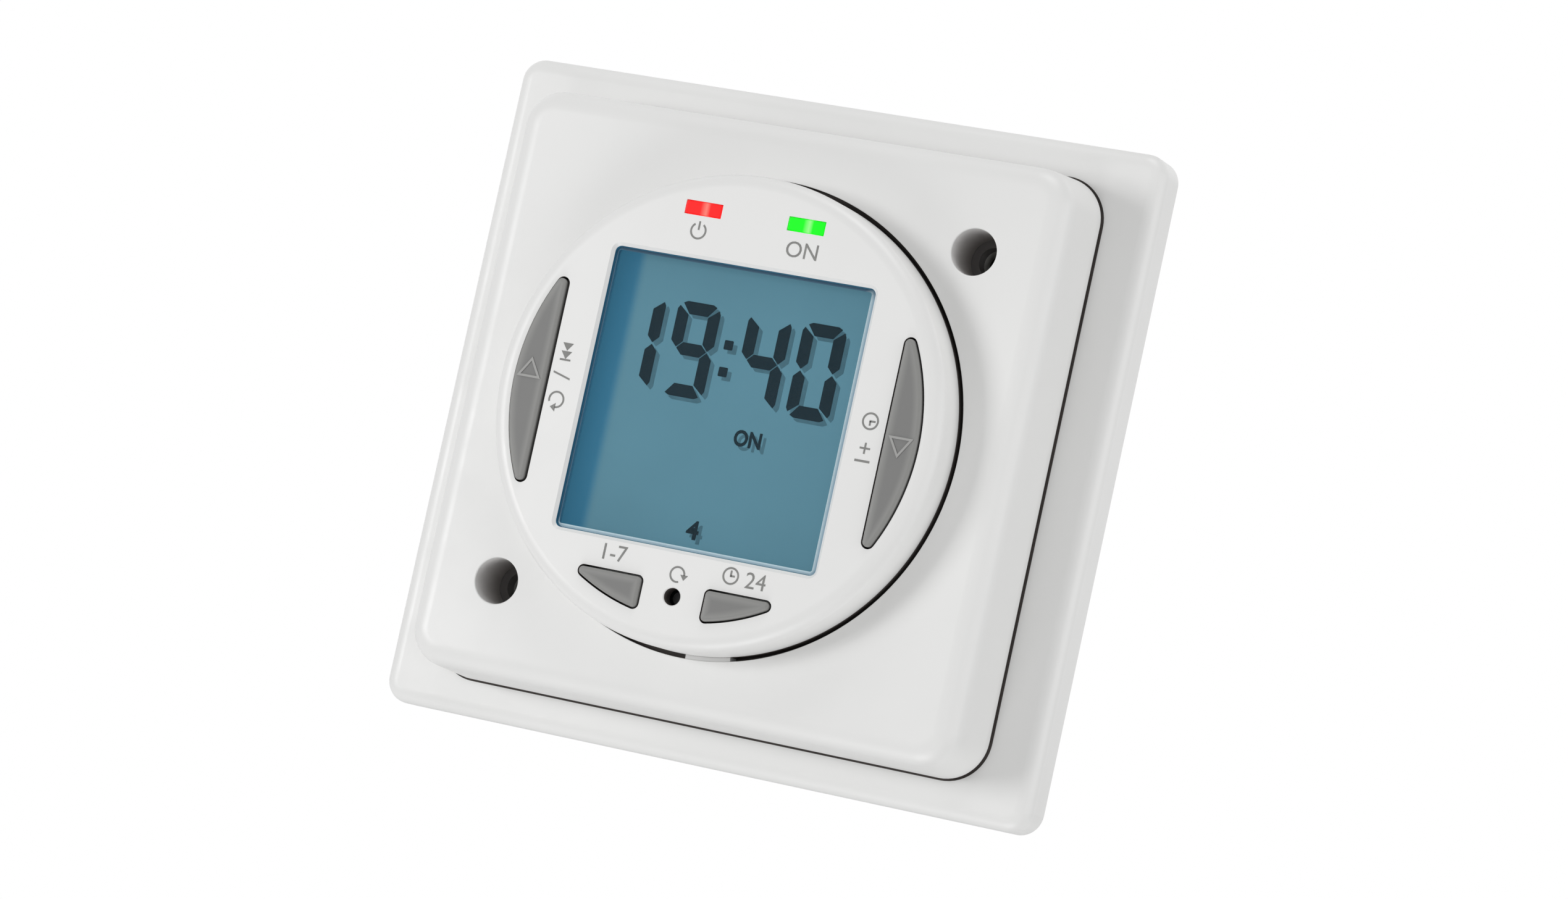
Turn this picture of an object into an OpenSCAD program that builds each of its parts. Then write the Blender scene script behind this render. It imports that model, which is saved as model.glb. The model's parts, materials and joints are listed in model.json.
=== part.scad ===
// Electronic seven-day time switch on a single wall plate.
// Modelled face up: x to the right, y up the wall, z out of the wall. Each piece is then turned upright,
// so that the front faces -Y, +Z is up and the origin is the centre of the plate's back face.

/* [Wall plate] */
// Width of the wall plate
plate_w = 90; // [86:0.5:100]
// Height of the wall plate
plate_h = 86; // [84:0.5:100]
// Thickness of the wall plate
plate_t = 6; // [5:0.25:9]
// Radius of the plate's corners
plate_corner_r = 3; // [2:0.25:6]
// Rounding of the plate's front edge
plate_edge_r = 1.8; // [0.6:0.1:2.4]
// Wall of the plate moulding
plate_wall = 2.2; // [1.6:0.1:2.8]
// Distance between the two wall box screws
box_pitch = 60.3; // [59.5:0.1:62]
// Hole for a wall box screw
box_hole_d = 4.2; // [3.6:0.1:4.8]

/* [Front housing] */
// Side of the square housing at the seam
housing_s = 76.4; // [75:0.2:79]
// Height of the housing from the seam to its face
housing_h = 11.4; // [9.5:0.1:13]
// Radius of the housing's corners
housing_corner_r = 5.5; // [4:0.25:8]
// Rounding of the housing's front edge
housing_edge_r = 2.6; // [1:0.1:3]
// How far the housing's sides lean in
housing_draft = 0.6; // [0:0.1:1]
// Wall of the housing moulding
housing_wall = 2.2; // [1.6:0.1:2.6]
// Shadow line between the housing and the plate
seam = 0.3; // [0.1:0.05:0.6]

/* [Screw wells] */
// Diameter of the well for a screw head
well_d = 5.9; // [5.4:0.1:6.6]
// Sideways distance of a well from the centre
well_x = 26.8; // [26:0.1:28]
// Upward distance of a well from the centre
well_y = 25.6; // [25:0.1:28]
// Hole for the screw in the floor of a well
well_screw_d = 3.9; // [3.2:0.1:4.4]
// Thickness of the well's floor
well_floor = 2; // [1.4:0.1:3]

/* [Rear case] */
// Width of the case behind the plate
case_w = 50; // [48:0.5:52]
// Height of the case behind the plate
case_h = 41; // [40:0.5:42]
// Depth of the case behind the wall face
case_depth = 20; // [19:0.5:28]
// Wall of the case moulding
case_wall = 1.8; // [1.4:0.1:2.2]
// Thickness of the case's front flange
flange_t = 2; // [1.8:0.1:2.6]
// Depth behind the wall face of the shelf for the terminals
shelf_depth = 8; // [7:0.25:8.5]
// Clear space between the case and the plate's opening
case_clear = 0.5; // [0.3:0.1:0.8]

/* [Timer fascia] */
// Radius of the round opening in the housing
opening_r = 30.3; // [29.8:0.1:31]
// Dark gap round the fascia
fascia_gap = 0.4; // [0.2:0.05:0.6]
// How far the fascia stands proud of the housing
fascia_proud = 6.4; // [4.5:0.1:7]
// Rounding of the fascia's edge
fascia_edge_r = 1.7; // [0.8:0.1:1.9]
// Thickness of the fascia's face
fascia_t = 2; // [1.6:0.1:2.4]
// Wall of the fascia's skirt
skirt_t = 1.2; // [0.9:0.05:1.3]

/* [Display] */
// Width of the display window
window_w = 35.5; // [33:0.1:36]
// Height of the display window
window_h = 36; // [33:0.1:36.4]
// Height of the window's centre over the fascia's centre
window_y = 0.3; // [0:0.1:0.5]
// How far the lens lies below the fascia's face
lens_drop = 0.9; // [0.4:0.1:1.2]
// Thickness of the lens's flange
lens_flange_t = 1; // [0.7:0.1:1.2]
// Thickness of the liquid crystal glass
lcd_t = 2; // [1.6:0.1:2.4]
// Space between the glass and the board
lcd_lift = 3.6; // [3:0.1:4]

/* [Keys] */
// Distance of an arc key's straight edge from the centre
arc_key_x = 23.1; // [23:0.1:24]
// Radius of an arc key's outer edge
arc_key_r = 27.4; // [27:0.05:27.9]
// Rounding of an arc key's tips
arc_tip_r = 0.65; // [0.5:0.05:1]
// Distance of a wedge key's top edge below the centre
wedge_key_y = 21.9; // [21.7:0.1:22.2]
// Distance of a wedge key's inner edge from the middle
wedge_key_x = 4.4; // [4.2:0.1:5]
// Radius of a wedge key's outer edge
wedge_key_r = 26.2; // [26:0.1:26.8]
// Rounding of a wedge key's corners
wedge_corner_r = 0.55; // [0.5:0.05:1]
// How far the keys stand proud of the fascia
key_proud = 0.5; // [0.2:0.05:1]
// Travel of a key
key_travel = 1; // [0.6:0.05:1.2]
// Clear space round a key
key_clear = 0.25; // [0.15:0.05:0.35]
// Diameter of the reset hole
reset_d = 2.2; // [1.8:0.1:2.6]
// Distance of the reset hole below the centre
reset_y = 23.5; // [23.2:0.1:23.8]
// Travel of the reset button
reset_travel = 0.3; // [0.2:0.05:0.4]

/* [Indicator lights] */
// Width of a light pipe
pipe_w = 5; // [4:0.1:5.4]
// Height of a light pipe
pipe_h = 1.8; // [1.4:0.1:2]
// Sideways distance of a light pipe from the middle
pipe_x = 7; // [6:0.1:7.4]
// Height of the light pipes over the fascia's centre
pipe_y = 24.5; // [24.2:0.1:24.8]

/* [Boards] */
// Thickness of both circuit boards
board_t = 1.6; // [1.2:0.1:1.8]
// Space under the power board
board_lift = 1; // [0.8:0.1:1.4]

/* [Relay] */
// Length of the relay
relay_l = 19; // [18.5:0.1:19.5]
// Width of the relay
relay_w = 15.5; // [12:0.1:15.5]
// Height of the relay
relay_h = 13.6; // [13.4:0.05:13.8]

/* [Terminals] */
// Number of terminals
terminal_count = 4; // [3:1:4]
// Distance from one terminal to the next
terminal_pitch = 9.5; // [9:0.1:10.5]
// Hole for a wire
wire_d = 3.8; // [3:0.1:4]

/* [Fits] */
// Clearance between pieces that are pushed together
fit = 0.1; // [0.05:0.01:0.15]

/* [Hidden] */
$fn = 64;
eps = 0.05;

// Colours
white_shell = [0.89, 0.89, 0.88];
pale_shell = [0.82, 0.82, 0.80];
key_grey = [0.53, 0.53, 0.52];
board_green = [0.10, 0.35, 0.20];
chip_black = [0.10, 0.10, 0.11];
brass = [0.78, 0.62, 0.30];
steel = [0.70, 0.71, 0.73];
copper = [0.72, 0.42, 0.22];
rubber_grey = [0.62, 0.62, 0.60];

// Levels out of the wall
z_flange = plate_t + flange_t;
z_rim = plate_t + seam;
z_face = z_rim + housing_h;
z_under = z_face - housing_wall;
z_disc = z_face + fascia_proud;
z_in = z_disc - fascia_t;
z_lcd = z_in - lens_flange_t - fit;
z_glass = z_lcd - lcd_t;
z_board = z_glass - lcd_lift;
z_back = z_board - board_t;

// Plate
plate_hollow = plate_t - plate_wall;
plate_rib_z = 0.6;
open_w = case_w + 2 * case_clear;
open_h = case_h + 2 * case_clear;
open_r = 2;
boss_wall = 1.6;
insert_r = 2.4;
insert_bore_r = 1.5;
insert_z = 0.8;
wells = [[well_x, well_y], [-well_x, -well_y]];

// Housing
housing_in = housing_s - 2 * (housing_wall + housing_draft);
inner_edge_r = 0.6;
post_r = 2.2;
post_clear = 0.4;
post_y = 14;
post_edge = housing_in / 2 - post_r - post_clear;
post_corner = housing_in / 2 - housing_corner_r;
posts = [[-post_corner, post_corner], [post_corner, -post_corner],
    [post_edge, post_y], [-post_edge, -post_y]];
pilot_r = 0.95;
pilot_cap = 0.6;
lug_angle = 277;
lug_span = 13;
lug_t = 0.7;
lug_play = 0.8;
lug_drop = 0.4;

// Fascia
fascia_r = opening_r - fascia_gap;
skirt_r = fascia_r - skirt_t;
collar_w = 1.8;
collar_r = opening_r + collar_w;
collar_t = 1.6;
hook_span = 16;
hook_t = 1.5;
hook_lip = 1.1;
seat_angles = [53, 127, 233, 307];
seat_w = 2;
seat_in = 1.6;
clip_t = 0.8;
clip_lip = 0.7;
clip_span = 10;
window_bevel = 0.4;
window_r = 0.6;

// Display
lens_flange = 1;
lcd_side = 0.85;
lcd_end = 1.55;
lcd_w = window_w + 2 * lcd_side;
lcd_h = window_h + 2 * lcd_end;
holder_wall = 0.9;
holder_ledge = 1;
holder_w = lcd_w + 2 * (fit + holder_wall);
holder_h = lcd_h + 2 * (fit + holder_wall);
zebra_w = 1.8;
zebra_inset = 0.5;
zebra_side = 1.5;
board_play = 0.3;
board_r = skirt_r - board_play;

// Keys
key_flange = 0.6;
key_flange_t = 0.8;
key_soft = 0.4;
mat_t = 0.8;
mat_clear = 0.4;
mat_arc_h = 32;
mat_wedge_w = 28;
dome_h = 2.2;
dome_wall = 0.5;
plug_t = 0.9;
touch = 0.05;
z_mat = z_board + mat_t;
z_dome = z_mat + dome_h;
z_key = z_disc + key_proud;
z_key_stop = z_in - 3 * touch;
arc_post = [(arc_key_x + arc_key_r) / 2, 0];
arc_post_r = 1.7;
wedge_post_in = 3.1;
wedge_post_down = 1.7;
wedge_post = [wedge_key_x + wedge_post_in, -(wedge_key_y + wedge_post_down)];
wedge_post_r = 1.3;
pill_clear = 0.2;
reset_body_w = 3.6;
reset_body_d = 3.2;
reset_body_h = 3.2;
reset_floor = 0.8;
reset_clear = 0.3;
reset_pin_r = reset_d / 2 - reset_clear;

// Indicator lights
led = [3.2, 1.6, 1.3];
pipe_flange = 0.5;
pipe_flange_t = 1.1;

// Case and power board
case_in_w = case_w - 2 * case_wall;
case_in_h = case_h - 2 * case_wall;
flange_s = housing_in - 2 * fit;
shelf_y = -7;
case_r = 2;
z_shelf = -shelf_depth;
z_power = z_shelf + case_wall + board_lift;
z_power_top = z_power + board_t;
board_edge = 0.4;
power_w = case_in_w - 2 * board_edge;
power_h = case_in_h - 2 * board_edge;
power_r = 1;
pillar_r = 2.4;
pillars = [for (side = [-1, 1]) [side * (power_w / 2 - pillar_r), power_h / 2 - pillar_r]];
small_screw_r = 1;
small_head_t = 1.2;
small_screw_l = 6;
case_screw_l = 6;
shelf_rib_w = 2;

// Parts on the boards, as places of their centres
relay_side = 1;
relay_end = 1.5;
relay_at = [-power_w / 2 + relay_l / 2 + relay_side, -power_h / 2 + relay_w / 2 + relay_end];
header_pins = 6;
header_pitch = 2.54;
header_d = 2.5;
header_edge = 0.55;
header_at = [power_w / 4, -power_h / 2 + header_edge + header_d / 2];
header_hole_r = 0.4;
socket_h = 8.5;
pin_w = 0.64;
chip_w = 10;
chip_t = 1.3;
chip_lift = 0.15;
leg_pitch = 1;
leg = [0.4, 1.2, 0.5];
chip_at = [-10, -8];
crystal_r = 1;
crystal_l = 6;
crystal_at = [2, -2];
battery_r = 5.7;
battery_h = 4.6;
battery_rim = 0.8;
battery_rim_t = 0.6;
battery_at = [-9, 12];
smoothing_r = 4;
smoothing_h = 10.5;
smoothing_crimp = 0.5;
smoothing_top = 1;
smoothing_at = [13, 10];
varistor_r = 4.8;
varistor_t = 3.6;
varistor_lift = 1;
varistor_leads = 5;
lead_r = 0.4;
varistor_at = [10, -3];
fuse_r = 1.7;
fuse_l = 9;
fuse_lift = 0.3;
fuse_lead_in = 0.6;
fuse_gap = 1.5;
fuse_at = [header_at[0], header_at[1] + header_d / 2 + fuse_gap + fuse_r];
dropper = [18, 9, 10.5];
dropper_at = [-8, 7];

// Relay
relay_base_t = 1.6;
cover_t = 0.7;
coil_x = -2;
coil_r = 4.4;
coil_wind = 0.6;
bobbin_t = 0.8;
core_r = 1.7;
pole_rim = 1;
pole_t = 0.5;
yoke_t = 1;
yoke_w = 8;
yoke_gap = 1.4;
yoke_x = coil_x - coil_r - yoke_gap;
hinge_gap = 0.15;
armature_t = 0.8;
armature_over = 3;
armature_side = 0.3;
armature_gap = 0.45;
z_relay = z_power_top + relay_base_t;
z_cover = z_power_top + relay_h;
cover_room = 1.6;
z_armature = z_cover - cover_t - cover_room;
z_pole = z_armature - armature_gap;
contact_reach = 8;
contact_x = coil_x + contact_reach;
contact_r = 0.8;
contact_t = 0.5;
contact_dip = 0.1;
contact_gap = 0.75;
contact_post = 0.6;
z_contact = z_armature - contact_dip - contact_gap;
blade_t = 0.3;
blade_w = 3;
blade_over = 1.2;

// Terminals
terminal_xs = [for (i = [0:terminal_count - 1]) (i - (terminal_count - 1) / 2) * terminal_pitch];
block_side = 1;
block_w = terminal_count * terminal_pitch + 2 * block_side;
block_gap = 0.3;
block_inset = 0.2;
block_lift = 0.5;
block_y0 = -case_h / 2 + block_inset;
block_y1 = shelf_y - block_gap;
block_z0 = block_lift - case_depth;
cage_w = 6.6;
cage_d = 9.4;
cage_h = 7;
cage_drop = 1.4;
cage_at = [(block_y0 + block_y1) / 2, z_shelf - cage_drop - cage_h / 2];
wire_up = 0.9;
wire_play = 0.4;
wire_z = cage_at[1] + wire_up;
wire_stop = 1;
clamp_screw_r = 1.45;
clamp_grip = 0.4;
clamp_head_r = 2;
clamp_head_play = 0.2;
clamp_head_drop = 0.6;
clamp_head_gap = 0.4;
slot_w = 0.7;
slot_depth = 0.8;
tail_w = 2.6;
tail_t = 0.8;
tail_play = 0.3;

// Points of an arc about c, from one angle to another
function arc(c, r, from, to, steps = 8) =
    [for (i = [0:steps]) let (a = from + (to - from) * i / steps) c + r * [cos(a), sin(a)]];

function rounded_points(w, h, r) = concat(
    arc([w / 2 - r, h / 2 - r], r, 0, 90), arc([r - w / 2, h / 2 - r], r, 90, 180),
    arc([r - w / 2, r - h / 2], r, 180, 270), arc([w / 2 - r, r - h / 2], r, 270, 360));

// Outline of the right-hand arc key: straight towards the window, round towards the fascia's edge
function arc_key_points(grow) = let (
        r = arc_tip_r + grow,
        big = arc_key_r + grow,
        x = arc_key_x - grow + r,
        y = sqrt((big - r) * (big - r) - x * x),
        turn = atan2(y, x))
    concat(arc([x, -y], r, 180, 360 - turn), arc([0, 0], big, -turn, turn, 24), arc([x, y], r, turn, 180));

// Outline of the right-hand wedge key: flat on top and towards the middle, round below
function wedge_key_points(grow) = let (
        r = wedge_corner_r + grow,
        big = wedge_key_r + grow,
        x = wedge_key_x - grow + r,
        y = grow - wedge_key_y - r,
        tip = [sqrt((big - r) * (big - r) - y * y), y],
        low = [x, -sqrt((big - r) * (big - r) - x * x)],
        tip_turn = 360 + atan2(tip[1], tip[0]),
        low_turn = 360 + atan2(low[1], low[0]))
    concat(arc([x, y], r, 90, 180), arc(low, r, 180, low_turn), arc([0, 0], big, low_turn, tip_turn, 12),
        arc(tip, r, tip_turn, 450));

module upright() rotate([90, 0, 0]) children();

module rounded(w, h, r) polygon(rounded_points(w, h, r));

// A slab from one level to another
module slab(from, to) translate([0, 0, from]) linear_extrude(to - from) children();

module rod(r, from, to) translate([0, 0, from]) cylinder(r = r, h = to - from);

module box_at(at, size) translate(at - [size[0] / 2, size[1] / 2, 0]) cube(size);

// A rounded block whose sides lean in and whose front edge is rounded
module soft_block(w, h, t, corner_r, edge_r, draft = 0) {
    edge = min(edge_r, corner_r - draft - 0.2);
    hull() for (x = [-1, 1], y = [-1, 1])
        translate([x * (w / 2 - corner_r), y * (h / 2 - corner_r), 0])
            rotate_extrude($fn = 32)
                polygon(concat([[0, 0], [corner_r, 0]],
                    arc([corner_r - draft - edge, t - edge], edge, 0, 90, 6), [[0, t]]));
}

module wall_plate() color(white_shell) upright() difference() {
    union() {
        difference() {
            soft_block(plate_w, plate_h, plate_t, plate_corner_r, plate_edge_r);
            slab(-1, plate_hollow)
                rounded(plate_w - 2 * plate_wall, plate_h - 2 * plate_wall, plate_corner_r / 2);
        }
        slab(plate_rib_z, plate_hollow + eps)
            rounded(open_w + 2 * boss_wall, open_h + 2 * boss_wall, open_r + boss_wall);
        for (x = [-1, 1]) translate([x * box_pitch / 2, 0])
            rod(box_hole_d / 2 + boss_wall, plate_rib_z, plate_hollow + eps);
        for (at = wells) translate(at) rod(insert_r + boss_wall, plate_rib_z, plate_hollow + eps);
    }
    slab(-1, plate_t + 1) rounded(open_w, open_h, open_r);
    for (x = [-1, 1]) translate([x * box_pitch / 2, 0]) rod(box_hole_d / 2, -1, plate_t + 1);
    for (at = wells) translate(at) rod(insert_r, -1, plate_t + 1);
}

module plate_inserts() color(brass) upright() for (at = wells) translate(at) difference() {
    rod(insert_r, insert_z, plate_t);
    rod(insert_bore_r, 0, plate_t + 1);
}

module hook() rotate([0, 0, -hook_span / 2]) rotate_extrude(angle = hook_span)
    polygon([
        [collar_r + fit, z_under + eps], [collar_r + fit, z_under - collar_t - fit],
        [collar_r - hook_lip, z_under - collar_t - fit], [collar_r - hook_lip, z_under - collar_t - hook_t],
        [collar_r + hook_t, z_under - collar_t - hook_t], [collar_r + hook_t, z_under + eps]]);

module ring_sector(inner, outer, from, to, angle, span)
    rotate([0, 0, angle - span / 2]) rotate_extrude(angle = span)
        translate([inner, from]) square([outer - inner, to - from]);

module front_housing() color(white_shell) upright() difference() {
    union() {
        difference() {
            translate([0, 0, z_rim])
                soft_block(housing_s, housing_s, housing_h, housing_corner_r, housing_edge_r, housing_draft);
            translate([0, 0, z_rim - 1])
                soft_block(housing_in, housing_in, housing_h - housing_wall + 1,
                    housing_corner_r - housing_draft, inner_edge_r);
        }
        for (at = wells) translate(at) rod(well_d / 2 + boss_wall, z_flange, z_under + eps);
        for (at = posts) translate(at) rod(post_r, z_flange, z_under + eps);
        for (a = [0:90:270]) rotate([0, 0, a]) hook();
    }
    rod(opening_r, z_under - eps, z_face + 1);
    ring_sector(opening_r - 1, opening_r + lug_t, z_under - eps, z_face + 1, lug_angle, lug_span);
    for (at = wells) translate(at) {
        rod(well_d / 2, z_flange + well_floor, z_face + 1);
        rod(well_screw_d / 2, z_flange - 1, z_face);
    }
    for (at = posts) translate(at) rod(pilot_r, z_flange - 1, z_under - pilot_cap);
}

// Section of the fascia: face, rounded edge, skirt and the collar under the housing
module fascia_section() {
    difference() {
        union() {
            translate([0, z_in]) square([fascia_r - fascia_edge_r, fascia_t]);
            translate([0, z_back - clip_t]) square([fascia_r, z_disc - fascia_edge_r - z_back + clip_t]);
            translate([fascia_r - fascia_edge_r, z_disc - fascia_edge_r]) circle(fascia_edge_r);
            translate([skirt_r, z_under - collar_t]) square([collar_r - skirt_r, collar_t]);
        }
        translate([-1, z_back - clip_t - 1]) square([skirt_r + 1, z_in - z_back + clip_t + 1]);
    }
}

// A rounded rectangle the size of the window, larger all round by grow
module window_shape(grow)
    translate([0, window_y]) rounded(window_w + 2 * grow, window_h + 2 * grow, window_r + grow);

// The window's opening, whose upper edge is bevelled
module window_cut() {
    slab(z_in - 1, z_disc + 1) window_shape(0);
    hull() {
        slab(z_disc - window_bevel - eps, z_disc - window_bevel) window_shape(0);
        slab(z_disc, z_disc + eps) window_shape(window_bevel);
    }
}

module timer_fascia() color(white_shell) upright() difference() {
    union() {
        rotate_extrude() fascia_section();
        for (a = seat_angles) rotate([0, 0, a])
            box_at([skirt_r - seat_in / 2 + eps, 0, z_board], [seat_in, seat_w, z_in - z_board + eps]);
        for (a = seat_angles)
            ring_sector(skirt_r - clip_lip, skirt_r + eps, z_back - clip_t, z_back - fit, a, clip_span);
        ring_sector(fascia_r - eps, opening_r + lug_t - fascia_gap, z_under - fit, z_face - lug_drop,
            lug_angle, lug_span - 2 * lug_play);
    }
    window_cut();
    for (side = [0, 1]) mirror([side, 0, 0]) {
        slab(z_in - 1, z_disc + 1) polygon(arc_key_points(key_clear));
        slab(z_in - 1, z_disc + 1) polygon(wedge_key_points(key_clear));
        translate([pipe_x, pipe_y]) slab(z_in - 1, z_disc + 1) square([pipe_w, pipe_h], center = true);
    }
    translate([0, -reset_y]) rod(reset_d / 2, z_in - 1, z_disc + 1);
}

module display_lens() color([0.75, 0.88, 0.92, 0.4]) upright() {
    slab(z_in - eps, z_disc - lens_drop) window_shape(-fit);
    slab(z_in - lens_flange_t, z_in) window_shape(lens_flange);
}

module lcd_glass() color([0.37, 0.56, 0.63]) upright() translate([0, window_y])
    slab(z_glass, z_lcd) square([lcd_w, lcd_h], center = true);

module lcd_holder() color(white_shell) upright() intersection() {
    translate([0, window_y]) difference() {
        slab(z_board, z_lcd) square([holder_w, holder_h], center = true);
        slab(z_glass, z_lcd + 1) square([lcd_w + 2 * fit, lcd_h + 2 * fit], center = true);
        slab(z_board - 1, z_lcd)
            square([lcd_w - 2 * holder_ledge, lcd_h - 2 * zebra_inset + 2 * fit], center = true);
    }
    rod(board_r - fit, z_board - 1, z_lcd + 1);
}

module backlight_guide() color([0.93, 0.95, 0.95]) upright() translate([0, window_y])
    slab(z_board, z_glass - fit)
        square([lcd_w - 2 * (holder_ledge + fit), lcd_h - 2 * (zebra_inset + zebra_w + 2 * fit)],
            center = true);

module zebra_strips() color(chip_black) upright() for (side = [-1, 1])
    translate([0, window_y + side * (lcd_h / 2 - zebra_inset - zebra_w / 2)])
        slab(z_board, z_glass) square([lcd_w - 2 * zebra_side, zebra_w], center = true);

module header_places() for (i = [0:header_pins - 1])
    translate(header_at + [(i - (header_pins - 1) / 2) * header_pitch, 0]) children();

module display_board() color(board_green) upright() difference() {
    rod(board_r, z_back, z_board);
    header_places() rod(header_hole_r, z_back - 1, z_board + 1);
}

module mat_outline() difference() {
    intersection() {
        circle(board_r - mat_clear);
        children();
    }
    for (a = seat_angles) rotate(a) translate([skirt_r, 0])
        square([2 * (seat_in + mat_clear), seat_w + 2 * mat_clear], center = true);
    translate([0, -reset_y])
        square([reset_body_w + 2 * mat_clear, reset_body_d + 2 * mat_clear], center = true);
}

module key_mats() color(rubber_grey) upright() {
    side_x = holder_w / 2 + 2 * fit;
    low_y = holder_h / 2 - window_y + 2 * fit;
    for (side = [0, 1]) mirror([side, 0, 0]) difference() {
        slab(z_board, z_mat) mat_outline()
            translate([side_x, -mat_arc_h / 2]) square([board_r, mat_arc_h]);
        translate(arc_post) rod(arc_post_r + dome_wall - fit, z_board - 1, z_mat + 1);
    }
    difference() {
        slab(z_board, z_mat) mat_outline()
            translate([-mat_wedge_w / 2, -low_y - board_r]) square([mat_wedge_w, board_r]);
        for (side = [-1, 1]) translate([side * wedge_post[0], wedge_post[1]])
            rod(wedge_post_r + dome_wall - 2 * fit, z_board - 1, z_mat + 1);
    }
}

// A key cap: soft top, body, retaining flange and the post that rests on its dome
module key_cap(outline, soft_outline, flange_outline, post, post_r) {
    hull() {
        slab(z_key - key_soft - eps, z_key - key_soft) polygon(outline);
        slab(z_key - eps, z_key) polygon(soft_outline);
    }
    slab(z_key_stop - eps, z_key - key_soft) polygon(outline);
    slab(z_key_stop - key_flange_t, z_key_stop) intersection() {
        polygon(flange_outline);
        circle(skirt_r - key_clear);
    }
    translate(post) rod(post_r, z_dome + touch, z_key_stop);
}

module arc_key() key_cap(arc_key_points(0), arc_key_points(-key_soft), arc_key_points(key_flange), arc_post,
    arc_post_r);

module wedge_key() key_cap(wedge_key_points(0), wedge_key_points(-key_soft), wedge_key_points(key_flange),
    wedge_post, wedge_post_r);

module advance_key() color(key_grey) upright() mirror([1, 0, 0]) arc_key();

module boost_key() color(key_grey) upright() arc_key();

module program_key() color(key_grey) upright() mirror([1, 0, 0]) wedge_key();

module time_key() color(key_grey) upright() wedge_key();

module dome(at, r) translate([at[0], at[1], z_mat]) rotate_extrude()
    polygon([[r + dome_wall, 0], [r + 2 * dome_wall, 0], [r, dome_h], [0, dome_h], [0, dome_h - plug_t],
        [r - dome_wall, dome_h - plug_t]]);

module advance_dome() color(rubber_grey) upright() mirror([1, 0, 0]) dome(arc_post, arc_post_r);

module boost_dome() color(rubber_grey) upright() dome(arc_post, arc_post_r);

module program_dome() color(rubber_grey) upright() mirror([1, 0, 0]) dome(wedge_post, wedge_post_r);

module time_dome() color(rubber_grey) upright() dome(wedge_post, wedge_post_r);

module pill(at, r) translate(at)
    rod(r - dome_wall - pill_clear, z_board + key_travel + touch, z_dome - plug_t - touch);

module advance_pill() color(chip_black) upright() mirror([1, 0, 0]) pill(arc_post, arc_post_r);

module boost_pill() color(chip_black) upright() pill(arc_post, arc_post_r);

module program_pill() color(chip_black) upright() mirror([1, 0, 0]) pill(wedge_post, wedge_post_r);

module time_pill() color(chip_black) upright() pill(wedge_post, wedge_post_r);

module reset_switch() color(steel) upright() difference() {
    box_at([0, -reset_y, z_board], [reset_body_w, reset_body_d, reset_body_h]);
    translate([0, -reset_y]) rod(reset_pin_r + fit, z_board + reset_floor, z_board + reset_body_h + 1);
}

module reset_plunger() color(chip_black) upright() translate([0, -reset_y])
    rod(reset_pin_r, z_board + reset_floor + reset_travel + touch, z_in - reset_clear);

module light_pipe(side) translate([side * pipe_x, pipe_y]) {
    slab(z_board + led[2] + fit, z_disc + touch) square([pipe_w - 2 * fit, pipe_h - 2 * fit], center = true);
    translate([0, -pipe_flange]) slab(z_in - fit - pipe_flange_t, z_in - fit)
        square([pipe_w + 2 * pipe_flange, pipe_h + 2 * pipe_flange], center = true);
}

module power_light_pipe() color([0.95, 0.12, 0.10]) upright() light_pipe(-1);

module on_light_pipe() color([0.15, 0.90, 0.20]) upright() light_pipe(1);

module status_leds() color([0.95, 0.93, 0.80]) upright() for (side = [-1, 1])
    box_at([side * pipe_x, pipe_y, z_board], led);

module microcontroller() color(chip_black) upright() {
    box_at([chip_at[0], chip_at[1], z_back - chip_t], [chip_w, chip_w, chip_t - chip_lift]);
    side_legs = floor((chip_w / 2 - leg[0]) / leg_pitch);
    for (turn = [0:90:270]) translate(chip_at) rotate(turn) for (i = [-side_legs:side_legs])
        box_at([i * leg_pitch, chip_w / 2 + leg[1] / 3, z_back - leg[2]], leg);
}

module clock_crystal() color(steel) upright()
    translate([crystal_at[0] - crystal_l / 2, crystal_at[1], z_back - crystal_r]) rotate([0, 90, 0])
        cylinder(r = crystal_r, h = crystal_l);

module backup_battery() color(steel) upright() translate(battery_at) {
    rod(battery_r, z_back - battery_h, z_back - battery_rim_t);
    rod(battery_r - battery_rim, z_back - battery_rim_t - eps, z_back);
}

module board_socket() color(chip_black) upright() difference() {
    box_at([header_at[0], header_at[1], z_back - socket_h], [header_pins * header_pitch, header_d, socket_h]);
    header_places() slab(z_back - socket_h - 1, z_back + 1) square(pin_w + 2 * fit, center = true);
}

module board_header() color(brass) upright() {
    box_at([header_at[0], header_at[1], z_power_top], [header_pins * header_pitch, header_d, header_d]);
    header_places() slab(z_power_top, z_back - 1) square(pin_w, center = true);
}

module case_box(inset, lift) {
    slab(z_shelf + lift, plate_t + eps + 2 * lift)
        rounded(case_w - 2 * inset, case_h - 2 * inset, case_r - inset / 2);
    upper = case_h / 2 - shelf_y;
    translate([0, shelf_y + upper / 2])
        slab(lift - case_depth, z_shelf + eps + lift)
            rounded(case_w - 2 * inset, upper - 2 * inset, case_r - inset / 2);
}

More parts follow.
